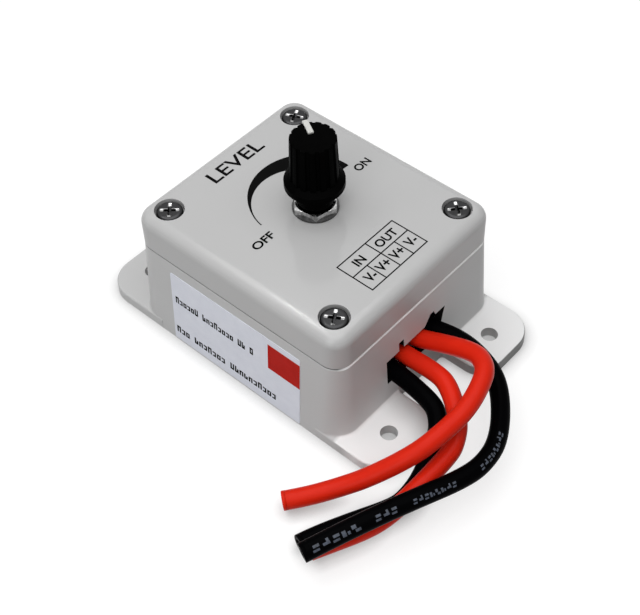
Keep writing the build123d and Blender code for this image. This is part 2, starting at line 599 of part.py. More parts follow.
def switching_transistor():
    """An upright power transistor: moulded body, bolt-hole tab and three legs."""
    x, y = TRANSISTOR_PLACE
    leg_depth, leg_width, leg_height = TRANSISTOR_LEG
    depth, width, height = TRANSISTOR_BODY
    body_bottom = BOARD_TOP + leg_height
    body = block(TRANSISTOR_BODY, x, y, body_bottom)
    tab_depth, tab_width, tab_height = TRANSISTOR_TAB
    tab_x = x - depth / 2 + tab_depth / 2
    tab = block((tab_depth, tab_width, height + tab_height), tab_x, y, body_bottom)
    axis = Plane(origin=(x, y, body_bottom + height + tab_height / 2), z_dir=(1, 0, 0))
    tab -= extrude(axis * Circle(TRANSISTOR_HOLE / 2), depth, both=True)
    device = body + tab
    for index in (-1, 0, 1):
        leg = (leg_depth, leg_width, leg_height + BLEND)
        device += block(leg, x, y + index * TRANSISTOR_LEG_PITCH, BOARD_TOP)
    return device


def reservoir_capacitor():
    """An upright can with a rolled edge and a scored top."""
    x, y = CAN_X, CAN_Y
    can = cylinder(CAN_DIAMETER, BOARD_TOP, BOARD_TOP + CAN_HEIGHT, x, y)
    can = fillet(can.faces().sort_by(Axis.Z)[-1].edges(), CAN_EDGE)
    can = fillet(can.faces().sort_by(Axis.Z)[0].edges(), CAN_EDGE)
    score = (CAN_DIAMETER / 2, COMPONENT_STAND, COMPONENT_STAND)
    for turn in (45, 135):
        top = BOARD_TOP + CAN_HEIGHT - COMPONENT_STAND / 2
        can -= Pos(x, y, top) * Rot(0, 0, turn) * block(score, 0, 0, 0)
    return can


def timing_capacitor():
    """A small upright disc on two legs."""
    x, y = DISC_PLACE
    middle = BOARD_TOP + DISC_STAND + DISC_DIAMETER / 2
    face = Plane(origin=(x, y, middle), z_dir=(0, 1, 0))
    disc = extrude(face * Circle(DISC_DIAMETER / 2), DISC_THICKNESS / 2, both=True)
    disc = fillet(disc.edges().filter_by(GeomType.CIRCLE), SOFT_EDGE * DISC_THICKNESS)
    for side in (-1, 1):
        disc += cylinder(COMPONENT_LEG, BOARD_TOP, middle, x + side * DISC_LEG_PITCH / 2, y)
    return disc


def axial_component(diameter, length, x, y):
    """A lying round body on two bent legs."""
    axis = BOARD_TOP + COMPONENT_STAND + diameter / 2
    body = Pos(x, y, axis) * Rot(0, 90, 0) * Cylinder(diameter / 2, length)
    body = fillet(body.edges().filter_by(GeomType.CIRCLE), SOFT_EDGE * diameter / 2)
    wire = Pos(x, y, axis) * Rot(0, 90, 0) * Cylinder(COMPONENT_LEG / 2, RESISTOR_SPAN)
    part = body + wire
    for side in (-1, 1):
        leg_x = x + side * (RESISTOR_SPAN - COMPONENT_LEG) / 2
        part += cylinder(COMPONENT_LEG, BOARD_TOP, axis, leg_x, y)
    return part


def wire_exit_y(name):
    """Where a wire leaves the case, from its place in the row."""
    place = list(WIRE_ROUTES).index(name) - (len(WIRE_ROUTES) - 1) / 2
    return WIRE_ROW_Y + place * WIRE_PITCH


def wire_points(name):
    """The whole route of a wire, from where its insulation ends inside the case."""
    y = wire_exit_y(name)
    inside = [(WIRE_START_X, y, WIRE_EXIT_Z), (WIRE_WALL_X, y, WIRE_EXIT_Z)]
    return inside + [(LID_LENGTH / 2 + out, across, up) for out, across, up in WIRE_ROUTES[name]]


def arc_radii(points):
    """The radius at each inner point: as large as the shorter of its two runs allows."""
    spots = [Vector(*p) for p in points]
    radii = []
    for before, here, after in zip(spots, spots[1:], spots[2:]):
        arrive, leave = here - before, after - here
        half_turn = radians(arrive.get_angle(leave)) / 2
        radii.append(WIRE_ARC_SHARE * min(arrive.length, leave.length) / tan(half_turn))
    return radii


def wire(name):
    """One insulated wire as a round bar along straight runs joined by tangent arcs."""
    points = wire_points(name)
    radii = arc_radii(points)
    path = FilletPolyline(*points, radius=radii)
    section = Plane(origin=path @ 0, z_dir=path % 0) * Circle(WIRE_DIAMETER / 2)
    tube = sweep(section, path=path)
    expected = path.length * pi * WIRE_DIAMETER**2 / 4
    print(f"wire {name}: length {path.length:.1f}, volume ratio {tube.volume / expected:.4f},",
          "radii", [round(r, 1) for r in radii])
    return tube


def wire_core(name):
    """The stripped end of a wire, lying on the board."""
    start = Plane(origin=(WIRE_START_X, wire_exit_y(name), WIRE_EXIT_Z), z_dir=(-1, 0, 0))
    return extrude(start * Circle(CORE_DIAMETER / 2), CORE_LAP)


def assembly():
    """Every piece by its node's name."""
    pieces = {
        "lower_case": lower_case(),
        "lid": lid(),
        "rating_label": rating_label(),
        "pot_bushing": pot_bushing(),
        "pot_wafer": pot_wafer(),
        "pot_track": pot_track(),
        "pot_cover": pot_cover(),
        "pot_washer": pot_washer(),
        "pot_nut": pot_nut(),
        "pot_shaft": pot_shaft(),
        "wiper_rotor": wiper_rotor(),
        "wiper_contact": wiper_contact(),
        "control_knob": control_knob(),
        "knob_pointer": knob_pointer(),
        "circuit_board": circuit_board(),
        "timer_chip": timer_chip(),
        "switching_transistor": switching_transistor(),
        "reservoir_capacitor": reservoir_capacitor(),
        "timing_capacitor": timing_capacitor(),
        "flyback_diode": axial_component(DIODE_DIAMETER, DIODE_LENGTH, DIODE_X, DIODE_Y),
    }
    for index, (x, inset) in enumerate(RESISTOR_PLACES, start=1):
        y = BOARD_WIDTH / 2 - inset
        pieces[f"resistor_{index}"] = axial_component(RESISTOR_DIAMETER, RESISTOR_LENGTH, x, y)
    for index in range(3):
        pieces[f"pot_terminal_{index + 1}"] = pot_terminal(index)
        pieces[f"pot_lead_{index + 1}"] = pot_lead(index)
    places = corners(LID_SCREW_PITCH_X, LID_SCREW_PITCH_Y)
    for index, (x, y) in enumerate(places):
        screw = cross_screw(LID_SCREW_DIAMETER, LID_SCREW_LENGTH, LID_SCREW_HEAD_DIAMETER,
                            LID_SCREW_HEAD_HEIGHT, LID_SCREW_CROSS)
        turned = Rot(0, 0, LID_SCREW_TURNS[index]) * screw
        pieces[f"lid_screw_{index + 1}"] = Pos(x, y, LID_SCREW_SEAT) * turned
    for index, (x, y) in enumerate(board_screw_places(), start=1):
        screw = cross_screw(BOARD_SCREW_DIAMETER, BOARD_SCREW_LENGTH, BOARD_SCREW_HEAD_DIAMETER,
                            BOARD_SCREW_HEAD_HEIGHT, BOARD_SCREW_CROSS)
        pieces[f"board_screw_{index}"] = Pos(x, y, BOARD_TOP) * screw
    for name in WIRE_ROUTES:
        pieces[f"wire_{name}"] = wire(name)
        pieces[f"core_{name}"] = wire_core(name)
    return pieces


os.makedirs("parts", exist_ok=True)
for node, piece in assembly().items():
    export_step(piece, f"parts/{node}.step")
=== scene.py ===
# %% [markdown]
# # An LED strip dimmer
#
# A pale grey box of moulded ABS stands on its flanged base. A fluted black knob turns a
# potentiometer under the lid, and four stiff insulated wires leave one end. The solids come
# from CAD and stay where they are. This script gives every one of them its real finish, and
# adds what is too fine for CAD: ink on the lid, print on the paper label, driver recesses in
# the screws, and the smooth line and the cut ends of the wires.

# %% Load the solids
import math

import bmesh
import bpy
import numpy as np
from mathutils import Matrix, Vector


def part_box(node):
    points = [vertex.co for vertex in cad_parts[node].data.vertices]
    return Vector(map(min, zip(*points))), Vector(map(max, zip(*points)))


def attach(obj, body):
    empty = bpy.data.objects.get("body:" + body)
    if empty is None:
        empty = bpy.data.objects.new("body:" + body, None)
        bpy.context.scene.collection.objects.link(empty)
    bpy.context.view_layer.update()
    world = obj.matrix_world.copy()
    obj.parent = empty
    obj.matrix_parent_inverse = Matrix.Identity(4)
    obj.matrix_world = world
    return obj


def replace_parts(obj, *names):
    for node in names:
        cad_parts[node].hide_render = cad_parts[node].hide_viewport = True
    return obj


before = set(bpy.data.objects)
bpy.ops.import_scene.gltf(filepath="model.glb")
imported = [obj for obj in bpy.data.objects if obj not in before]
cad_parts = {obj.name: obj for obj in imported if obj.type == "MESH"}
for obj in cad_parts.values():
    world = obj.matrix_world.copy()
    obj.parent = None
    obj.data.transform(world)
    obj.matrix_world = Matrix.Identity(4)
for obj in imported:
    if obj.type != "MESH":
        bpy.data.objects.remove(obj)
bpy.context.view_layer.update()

MM = 0.001
scene = bpy.context.scene
scene.view_settings.view_transform = "Standard"

# %% [markdown]
# ## The camera
#
# A picture's camera can be guessed by eye, or solved from edges whose real places are known.
# Here it was solved from the screws, the seam and the ears of the box. It looks down at about
# 48 degrees onto the corner between the label and the wires. The picture is a crop of a larger
# one, so the optical axis isn't at its middle, which a small lens shift gives.

# %% Camera
IMAGE_WIDTH, IMAGE_HEIGHT = 640, 615
AZIMUTH, ELEVATION, ROLL = 42.51, 47.82, -1.76
DISTANCE_MM, FOCAL_PX = 321.33, 1303.86
AIM_MM = (6.10, -1.29, 17.0)
AXIS_PX = (330.29, 279.22)


def camera_axes(azimuth, elevation, roll):
    """Right, up and back of a camera that stands at an azimuth and elevation and turns by roll."""
    a, e, r = np.radians([azimuth, elevation, roll])
    back = np.array([np.sin(a) * np.cos(e), -np.cos(a) * np.cos(e), np.sin(e)])
    level = np.array([np.cos(a), np.sin(a), 0.0])
    upright = np.cross(back, level)
    right = np.cos(r) * level + np.sin(r) * upright
    up = np.cos(r) * upright - np.sin(r) * level
    return right, up, back


def add_camera():
    """Places the camera back from its aim along its own axis, with the crop as lens shift."""
    right, up, back = camera_axes(AZIMUTH, ELEVATION, ROLL)
    data = bpy.data.cameras.new("photo_camera")
    data.sensor_width = 36.0
    data.lens = FOCAL_PX / IMAGE_WIDTH * data.sensor_width
    data.shift_x = (IMAGE_WIDTH / 2 - AXIS_PX[0]) / IMAGE_WIDTH
    data.shift_y = (AXIS_PX[1] - IMAGE_HEIGHT / 2) / IMAGE_WIDTH
    data.clip_start = 0.01
    camera = bpy.data.objects.new("photo_camera", data)
    place = np.eye(4)
    place[:3, :3] = np.stack([right, up, back], axis=1)
    place[:3, 3] = (np.array(AIM_MM) + back * DISTANCE_MM) * MM
    camera.matrix_world = Matrix(place.tolist())
    scene.collection.objects.link(camera)
    scene.camera = camera
    return camera


camera = add_camera()
print("camera at", [round(v, 4) for v in camera.location], "lens", round(camera.data.lens, 2))

# %% [markdown]
# ## Colours and nodes
#
# Colours are written as the sRGB hex values that a colour picker shows, and turned to the
# linear values that a shader works in. One helper adds a shader node: what it is, what it is
# set to, and what is plugged into it. A Mix node has sockets of the same name for numbers and
# for colours, so those for colours are picked by their number.

# %% Helpers for finishes
FACTOR, FIRST, SECOND, MIXED = 0, 6, 7, 2


def linear(hex_colour):
    """Turns #rrggbb to linear RGBA: each channel goes through the sRGB curve."""
    srgb = np.array([int(hex_colour[i:i + 2], 16) for i in (1, 3, 5)]) / 255
    rgb = np.where(srgb <= 0.04045, srgb / 12.92, ((srgb + 0.055) / 1.055) ** 2.4)
    return (*rgb.tolist(), 1.0)


def put(tree, kind, inputs=None, **settings):
    """Adds a node with its settings; an input is a value, or another node's socket to link."""
    node = tree.nodes.new(kind)
    for name, value in settings.items():
        setattr(node, name, value)
    for key, value in (inputs or {}).items():
        if isinstance(value, bpy.types.NodeSocket):
            tree.links.new(value, node.inputs[key])
        else:
            node.inputs[key].default_value = value
    return node


def start_finish(name, **sockets):
    """A material with an output and one Principled shader, whose plain sockets are set here."""
    material = bpy.data.materials.new(name)
    material.use_nodes = True
    tree = material.node_tree
    tree.nodes.clear()
    shader = put(tree, "ShaderNodeBsdfPrincipled", sockets)
    put(tree, "ShaderNodeOutputMaterial", {"Surface": shader.outputs["BSDF"]})
    return material, tree, shader


def grained(name, colour, fleck, grain_mm, rough, bump_mm, contrast=0.5, **sockets):
    """A finish whose colour, roughness and height follow one noise of a real grain size."""
    material, tree, shader = start_finish(name, **sockets)
    place = put(tree, "ShaderNodeTexCoord")
    noise = put(tree, "ShaderNodeTexNoise", {
        "Vector": place.outputs["Object"], "Scale": 1 / (grain_mm * MM),
        "Detail": 3.0, "Roughness": 0.6})
    tone = put(tree, "ShaderNodeMapRange", {
        "Value": noise.outputs["Fac"],
        "From Min": 0.5 - contrast / 2, "From Max": 0.5 + contrast / 2})
    mix = put(tree, "ShaderNodeMix", {
        FACTOR: tone.outputs["Result"], FIRST: linear(colour), SECOND: linear(fleck)},
        data_type="RGBA")
    gloss = put(tree, "ShaderNodeMapRange", {
        "Value": tone.outputs["Result"], "To Min": rough[0], "To Max": rough[1]})
    bump = put(tree, "ShaderNodeBump", {
        "Height": noise.outputs["Fac"], "Distance": bump_mm * MM, "Strength": 1.0})
    tree.links.new(mix.outputs[MIXED], shader.inputs["Base Color"])
    tree.links.new(gloss.outputs["Result"], shader.inputs["Roughness"])
    tree.links.new(bump.outputs["Normal"], shader.inputs["Normal"])
    return material


def dress(material, *nodes):
    """Gives CAD nodes a material in place of the plain one they came with."""
    for node in nodes:
        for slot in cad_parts[node].material_slots:
            slot.material = material


print("mid grey #808080 is", round(linear("#808080")[0], 3), "in linear light")

# %% [markdown]
# ## The wires
#
# Four stiff single wires with PVC insulation come out of the sawn slot side by side, bend round
# towards the label side and lie down on the table. Each is a fixed length, nearly all of which
# the picture shows. A swept tube of straight runs and arcs looks like bent rod, so the same route
# is used as the control points of one smooth NURBS line with a round bevel.

# %% Wire routes
WIRE_DIAMETER = 4.6 * MM
WIRE_ROUTES_MM = {
    "wire_in_negative": [
        (24.5, -9.55, 12.6), (31.0, -9.55, 11.2), (37.4, -9.65, 10.8), (45.5, -10.7, 10.3),
        (48.5, -12.2, 9.7), (51.3, -15.4, 8.3), (54.5, -25.0, 4.6), (54.7, -31.6, 2.9),
        (53.6, -35.3, 2.5), (49.4, -43.2, 2.4), (45.4, -51.5, 2.4), (44.3, -54.65, 2.4),
    ],
    "wire_in_positive": [
        (24.5, -4.65, 12.6), (31.0, -4.85, 12.1), (42.4, -4.9, 13.2), (47.2, -6.4, 13.4),
        (54.4, -11.9, 12.2), (57.1, -16.9, 10.9), (57.6, -20.2, 10.0), (56.7, -31.9, 7.4),
        (55.6, -39.5, 5.9), (53.7, -44.7, 5.3), (50.4, -51.2, 5.1), (48.3, -55.4, 5.1),
    ],
    "wire_out_positive": [
        (24.5, 0.25, 12.6), (31.0, 0.25, 12.6), (39.5, 2.0, 15.2), (48.3, 1.9, 19.0),
        (52.1, -0.1, 19.9), (54.5, -3.3, 20.1), (56.6, -12.0, 19.1), (55.7, -20.0, 17.4),
        (53.4, -26.9, 14.4), (47.0, -35.0, 8.4), (42.2, -40.1, 5.4), (38.0, -45.6, 4.2),
        (34.69, -49.42, 3.69),
    ],
    "wire_out_negative": [
        (24.5, 5.15, 12.6), (31.0, 5.15, 12.6), (40.4, 7.7, 12.3), (49.8, 6.5, 10.7),
        (56.1, 2.2, 9.6), (63.3, -8.1, 9.1), (64.8, -16.4, 9.5), (63.5, -23.5, 10.2),
        (59.3, -34.6, 11.3), (56.2, -41.8, 11.0), (52.1, -51.25, 10.15), (48.95, -58.58, 9.0),
    ],
}


def route_curve(name, route_mm, bevel):
    """One open NURBS spline with the route as control points, round where bevel is more than 0."""
    data = bpy.data.curves.new(name, "CURVE")
    data.dimensions = "3D"
    data.resolution_u = 10
    data.bevel_depth = bevel
    data.bevel_resolution = 7
    data.use_fill_caps = bevel > 0
    spline = data.splines.new("NURBS")
    spline.points.add(len(route_mm) - 1)
    for point, place in zip(spline.points, route_mm):
        point.co = (*(c * MM for c in place), 1.0)
    spline.order_u = 3
    spline.use_endpoint_u = True
    return bpy.data.objects.new(name, data)


# extruded PVC: an even colour with a soft, broad sheen that handling dulls a little; the black
# is so dark that its sheen has to be kept very low
red_pvc = grained("red_extruded_pvc", "#dc2812", "#d4220e", 6.0, (0.32, 0.42), 0.01,
                  contrast=0.8, IOR=1.53, **{"Specular IOR Level": 0.09})
black_pvc = grained("black_extruded_pvc", "#020203", "#040405", 6.0, (0.26, 0.34), 0.01,
                    contrast=0.8, IOR=1.53, **{"Specular IOR Level": 0.007})
wires = {}
for name, route_mm in WIRE_ROUTES_MM.items():
    wire = route_curve(name + "_line", route_mm, WIRE_DIAMETER / 2)
    scene.collection.objects.link(wire)
    wire.data.materials.append(red_pvc if "positive" in name else black_pvc)
    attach(wire, "case")
    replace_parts(wire, name)
    wires[name] = wire
print(len(wires), "wires of", WIRE_DIAMETER / MM, "mm")

# %% [markdown]
# ## Cut ends of the wires
#
# Each wire was snipped square, and its stranded copper sits a little way inside the insulation.
# The strands could be seven small cylinders. One surface on a round grid is enough: its height
# over the cut is that of a low dome on whichever strand is nearest. A turned ring is the end of
# the insulation. Both stand on a frame at the end of the wire's own line, read from its spline.

# %% Meshes from grids
WELD_MM = 0.0005


def mesh_piece(name, points, faces, material):
    """A smooth mesh from places in mm and lists of corners, dressed and riding on the case."""
    mesh = bpy.data.meshes.new(name)
    mesh.from_pydata(np.asarray(points).reshape(-1, 3) * MM, [], faces, shade_flat=False)
    mesh.materials.append(material)
    made = bpy.data.objects.new(name, mesh)
    scene.collection.objects.link(made)
    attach(made, "case")
    return made


def weld(made):
    """Joins the points that lie on each other, so that the seams and poles of a mesh are closed."""
    work = bmesh.new()
    work.from_mesh(made.data)
    bmesh.ops.remove_doubles(work, verts=work.verts, dist=WELD_MM * MM)
    work.to_mesh(made.data)
    work.free()
    return made


def grid_faces(rows, columns, around=False):
    """Corners of the quads of a grid of points; around also joins its last column to its first."""
    index = np.arange(rows * columns).reshape(rows, columns)
    left, right = (index, np.roll(index, -1, axis=1)) if around else (index[:, :-1], index[:, 1:])
    return np.stack([left[:-1], right[:-1], right[1:], left[1:]], axis=-1).reshape(-1, 4).tolist()


print("a grid of 3 by 4 points has", len(grid_faces(3, 4)), "faces, and joined round",
      len(grid_faces(3, 4, around=True)))

# %% The line of a wire


def wire_line(route_mm):
    """Places along a wire's middle in mm, from its cut end inwards, as its spline gives them."""
    thin = route_curve("wire_middle", route_mm, 0.0)
    thin.data.resolution_u = 24
    mesh = bpy.data.meshes.new_from_object(thin)
    places = np.empty(len(mesh.vertices) * 3, dtype=np.float32)
    mesh.vertices.foreach_get("co", places)
    bpy.data.objects.remove(thin)
    bpy.data.meshes.remove(mesh)
    return places.reshape(-1, 3)[::-1].astype(float) / MM


def wire_frame(line, distance, towards):
    """Place, direction, outward normal and side of a wire at distances from its cut end.

    The normal is the direction towards which it faces, without its part along the wire.
    """
    step = np.linalg.norm(np.diff(line, axis=0), axis=1)
    travelled = np.concatenate([[0.0], np.cumsum(step)])
    heading = np.gradient(line, travelled, axis=0)
    at = np.stack([np.interp(distance, travelled, line[:, k]) for k in range(3)], axis=-1)
    ahead = np.stack([np.interp(distance, travelled, heading[:, k]) for k in range(3)], axis=-1)
    ahead /= np.linalg.norm(ahead, axis=-1, keepdims=True)
    out = np.array(towards, float) - (ahead @ np.array(towards, float))[..., None] * ahead
    out /= np.linalg.norm(out, axis=-1, keepdims=True)
    return at, ahead, out, np.cross(out, ahead)


print("the longest wire's line has", len(wire_line(WIRE_ROUTES_MM["wire_out_negative"])), "places")

# %% Rings and strands at the cuts
WIRE_RADIUS = WIRE_DIAMETER / MM / 2
CORE_RADIUS, STRAND_RADIUS = 1.15, 0.38
STRAND_FOOT, STRAND_DOME = 0.03, 0.4
BORE_RADIUS, OVERHANG, BEVEL = 1.2, 0.9, 0.05
END_COLUMNS, STRAND_ROWS = 60, 24
END_FACING = (0.3, 0.2, 1.0)


def cut_strands(u, v):
    """Height over the cut: a low dome on the nearest strand, one in the middle and six round it."""
    turn = np.arange(6) * np.pi / 3
    ring = np.stack([np.cos(turn), np.sin(turn)], axis=1) * 2 * STRAND_RADIUS
    middles = np.vstack([[0.0, 0.0], ring])
    away = np.min(np.hypot(u[..., None] - middles[:, 0], v[..., None] - middles[:, 1]), axis=-1)
    return STRAND_FOOT + STRAND_DOME * np.sqrt(np.clip(STRAND_RADIUS ** 2 - away ** 2, 0.0, None))


def end_surface(name, route_mm, radius, height, material):
    """A turned surface on a wire's cut end: a radius for each row, and its height over the cut.

    The height is one number for each row, or a formula of the place across the cut.
    """
    angle = np.linspace(0, 2 * np.pi, END_COLUMNS, endpoint=False)
    u, v = radius[:, None] * np.cos(angle), radius[:, None] * np.sin(angle)
    rise = height(u, v) if callable(height) else np.broadcast_to(height[:, None], u.shape)
    cut = wire_frame(wire_line(route_mm), np.zeros(1), END_FACING)
    at, ahead, out, side = (part[0] for part in cut)
    points = at + u[..., None] * out + v[..., None] * side - rise[..., None] * ahead
    faces = grid_faces(len(radius), END_COLUMNS, around=True)
    return weld(mesh_piece(name, points, faces, material))


# bare drawn copper: a warm metal, a little dull where the snips sheared it
copper = grained("bare_drawn_copper", "#c07a52", "#9a5c3c", 0.3, (0.25, 0.45), 0.01, Metallic=1.0)
ring_radius = np.array([WIRE_RADIUS, WIRE_RADIUS, WIRE_RADIUS - BEVEL, BORE_RADIUS + BEVEL,
                        BORE_RADIUS, BORE_RADIUS, WIRE_RADIUS])
ring_height = np.array([-BEVEL, OVERHANG - BEVEL, OVERHANG, OVERHANG,
                        OVERHANG - BEVEL, 0.0, -BEVEL])
strand_radius = np.linspace(CORE_RADIUS, 0, STRAND_ROWS)
for name, route_mm in WIRE_ROUTES_MM.items():
    ring = end_surface("cut_ring_" + name, route_mm, ring_radius, ring_height,
                       wires[name].data.materials[0])
    strands = end_surface("strands_" + name, route_mm, strand_radius, cut_strands, copper)

# %% [markdown]
# ## Marking on the black wire
#
# A line of small pale type runs along the upper black wire. It is too worn to read, so every
# letter is only a pair of dabs. A decal could be wrapped round the wire; here each dab is a small
# grid in two lengths, along the wire and round it, laid on the wire's own round surface.

# %% Rows of type
LETTER_SHARE = 0.88


def type_boxes(shapes, counts, left, foot, pitch, cap, low):
    """Boxes of a row of words with so many letters each, as left, foot, right and top.

    A word's first letter is as high as a capital, and most of the others are low. A letter's shape
    follows from its place in the row, so that neighbours differ.
    """
    boxes = []
    wide = LETTER_SHARE * pitch
    at = left
    for word, count in enumerate(counts):
        for k in range(count):
            high = cap if k == 0 or (3 * k + word) % 5 == 0 else low
            shape = shapes[(2 * k + 3 * word + k // 3) % len(shapes)]
            boxes += [(at + a * wide, foot + b * high, at + c * wide, foot + d * high)
                      for a, b, c, d in shape]
            at += pitch
        at += pitch
    return boxes


def printed_patches(name, boxes, place, steps, material):
    """Flat print: each box is a small grid of u and v, and place(u, v) lays it on a surface."""
    across, upward = np.meshgrid(np.linspace(0, 1, steps[0] + 1), np.linspace(0, 1, steps[1] + 1))
    left, foot, right, top = np.array(boxes, float).T[:, :, None, None]
    points = place(left + (right - left) * across, foot + (top - foot) * upward)
    quads = np.array(grid_faces(steps[1] + 1, steps[0] + 1))
    faces = quads[None] + np.arange(len(boxes))[:, None, None] * across.size
    return mesh_piece(name, points, faces.reshape(-1, 4).tolist(), material)


print("a letter takes", LETTER_SHARE, "of the step to the next one")

# %% Worn type on the wire
INK_LIFT = 0.02
TYPE_FACING = (0.45, -0.5, 0.74)
WORN_DABS = (  # left, foot, right and top of what is left of a letter, as shares of its cell
    ((0.05, 0.1, 0.8, 0.36), (0.2, 0.55, 0.9, 0.85)),
    ((0.0, 0.5, 0.5, 0.9), (0.3, 0.1, 0.9, 0.42)),
    ((0.1, 0.3, 0.9, 0.6), (0.55, 0.6, 0.85, 0.95)),
    ((0.0, 0.15, 0.45, 0.8), (0.6, 0.2, 0.9, 0.55)))
WORN_WORDS = (  # letters, distance from the cut end, foot, pitch and height in mm
    (5, 1.2, -1.05, 2.4, 2.1), (3, 16.2, -0.95, 1.9, 1.9),
    (8, 25.2, -0.85, 1.4, 1.6), (8, 43.0, -0.85, 1.4, 1.6))


def on_black_wire(distance, around):
    """A place on the wire: so far from its cut end, and so far round from where the type faces."""
    at, ahead, out, side = wire_frame(marked_line, distance, TYPE_FACING)
    turn = (around / WIRE_RADIUS)[..., None]
    return at + (WIRE_RADIUS + INK_LIFT) * (np.cos(turn) * out + np.sin(turn) * side)


marked_line = wire_line(WIRE_ROUTES_MM["wire_out_negative"])
# marking ink: thin, bluish and half rubbed off, so the black shows through in patches
marking_ink = grained("rubbed_marking_ink", "#434c5c", "#14171c", 0.7, (0.45, 0.6), 0.002,
                      contrast=0.6)
dabs = []
for letters, start, foot, pitch, height in WORN_WORDS:
    dabs += type_boxes(WORN_DABS, (letters,), start, foot, pitch, height, height)
wire_type = printed_patches("wire_type", dabs, on_black_wire, (2, 3), marking_ink)

# %% [markdown]
# ## Light, floor and background
#
# The box was photographed on white. A large soft lamp overhead and a weaker one on the label
# side give the lid the brightest tone, the label side a middle one and the wire end the darkest.
# Three very small ones, like the panes of a window, leave a short bright streak on the rounded
# edge of the lid. The floor is a pale grey that throws only a little light back. What the camera
# or a mirror-like surface sees of it is lifted to white by a fixed amount, so it still takes the
# shadow; in narrow gaps ambient occlusion lowers that lift, which paints contact shade.

# %% Lamps
ASIDE = (0.0, 1.0, 0.1)
SOFTBOXES = (  # name, place, aim and size in mm, power in watts
    ("overhead_softbox", (20, -50, 600), (0, 0, 20), 800, 4.0),
    ("label_side_softbox", (150, -590, 300), (0, 0, 15), 400, 1.06))
PANE_PLACES = ((-235, -12, 525), (-235, -82, 525), (-235, -160, 525))
PANE_AIM, PANE_SIZE, PANE_POWER = (20, -26, 36), 8, 0.05


def area_lamp(name, place_mm, aim_mm, size_mm, power):
    """A square soft lamp at a place, turned to face its aim, with one side square to ASIDE."""
    data = bpy.data.lights.new(name, "AREA")
    data.size = size_mm * MM
    data.energy = power
    lamp = bpy.data.objects.new(name, data)
    back = np.array(place_mm, float) - np.array(aim_mm, float)
    back /= np.linalg.norm(back)
    right = np.cross(ASIDE, back)
    right /= np.linalg.norm(right)
    turn = np.eye(4)
    turn[:3, :3] = np.stack([right, np.cross(back, right), back], axis=1)
    turn[:3, 3] = np.array(place_mm) * MM
    lamp.matrix_world = Matrix(turn.tolist())
    scene.collection.objects.link(lamp)
    return lamp


lamps = [area_lamp(*softbox) for softbox in SOFTBOXES]
lamps += [area_lamp(f"window_pane_{number}", place, PANE_AIM, PANE_SIZE, PANE_POWER)
          for number, place in enumerate(PANE_PLACES, 1)]
print([lamp.name for lamp in lamps])

# %% Floor and background
FLOOR_HALF_MM, FLOOR_GAP_MM = 3000, 4
FLOOR_LIFT, SOFT_LIGHT = 0.69, 0.12
WHITE = (1, 1, 1, 1)


def looked_at(tree):
    """1 for a ray from the camera or sent on by a shiny or clear surface, and 0 for the rest."""
    seen = put(tree, "ShaderNodeLightPath")
    shiny = put(tree, "ShaderNodeMath", {
        0: seen.outputs["Is Camera Ray"], 1: seen.outputs["Is Glossy Ray"]}, operation="MAXIMUM")
    either = put(tree, "ShaderNodeMath", {
        0: shiny.outputs[0], 1: seen.outputs["Is Transmission Ray"]}, operation="MAXIMUM")
    return either.outputs[0]


def add_floor():
    """A plane that glows for what is looked at, and less in narrow gaps, as painted contact shade.
    """
    side = FLOOR_HALF_MM * MM
    corners = [(-side, -side, 0), (side, -side, 0), (side, side, 0), (-side, side, 0)]
    mesh = bpy.data.meshes.new("studio_floor")
    mesh.from_pydata(corners, [], [(0, 1, 2, 3)])
    floor = bpy.data.objects.new("studio_floor", mesh)
    scene.collection.objects.link(floor)
    material, tree, shader = start_finish("white_paper_sweep", Roughness=0.9,
                                          **{"Specular IOR Level": 0.0})
    shader.inputs["Base Color"].default_value = linear("#a8a8a8")
    # painted contact shade: ambient occlusion lowers the floor's glow in narrow gaps
    open_sky = put(tree, "ShaderNodeAmbientOcclusion", {"Distance": FLOOR_GAP_MM * MM}, samples=8)
    lit = put(tree, "ShaderNodeMath", {
        0: looked_at(tree), 1: open_sky.outputs["AO"]}, operation="MULTIPLY")
    lift = put(tree, "ShaderNodeMath", {0: lit.outputs[0], 1: FLOOR_LIFT}, operation="MULTIPLY")
    shader.inputs["Emission Color"].default_value = WHITE
    tree.links.new(lift.outputs[0], shader.inputs["Emission Strength"])
    mesh.materials.append(material)
    return floor


def add_world():
    """White where the camera looks past the floor, and an even soft light for everything else."""
    world = bpy.data.worlds.new("studio_world")
    world.use_nodes = True
    tree = world.node_tree
    tree.nodes.clear()
    strength = put(tree, "ShaderNodeMapRange", {
        "Value": looked_at(tree), "To Min": SOFT_LIGHT, "To Max": 1.0})
    sky = put(tree, "ShaderNodeBackground", {
        "Color": WHITE, "Strength": strength.outputs["Result"]})
    put(tree, "ShaderNodeOutputWorld", {"Surface": sky.outputs["Background"]})
    scene.world = world
    return world


print(add_floor().name, "and", add_world().name)

# %% [markdown]
# ## Case and lid
#
# Both halves are injection-moulded ABS in pale grey. The real surface is nearly even: a faint
# cloudiness where the plastic flowed, slow waves in the skin, a shine on what faces up and
# duller walls, which were dragged out of the tool. Painted shade darkens the joint, except at
# the wire end, where the rim of the base carries a painted highlight. The sawn slot is painted
# black inside as shade. The tops and the label side of the ears at the wire end are painted
# paler as light, and the outer rims of both ears there are painted dark as shade. All of that
# depends on where a point is or which way it faces, so one material with soft limits draws it.

# %% Moulded ABS
FLOW_MM, WAVE_MM, WAVE_HEIGHT_MM = 22, 9, 0.02
WALL_ROUGH, TOP_ROUGH, FLOW_ROUGH = 0.38, 0.1, 0.05


def facing(tree, axis):
    """1 on a face that looks along an axis, 0 on one that looks across it, with a soft change."""
    surface = put(tree, "ShaderNodeNewGeometry")
    normal = put(tree, "ShaderNodeSeparateXYZ", {"Vector": surface.outputs["Normal"]})
    rise = put(tree, "ShaderNodeMapRange", {
        "Value": normal.outputs[axis], "From Min": 0.3, "From Max": 0.7})
    return rise.outputs["Result"]


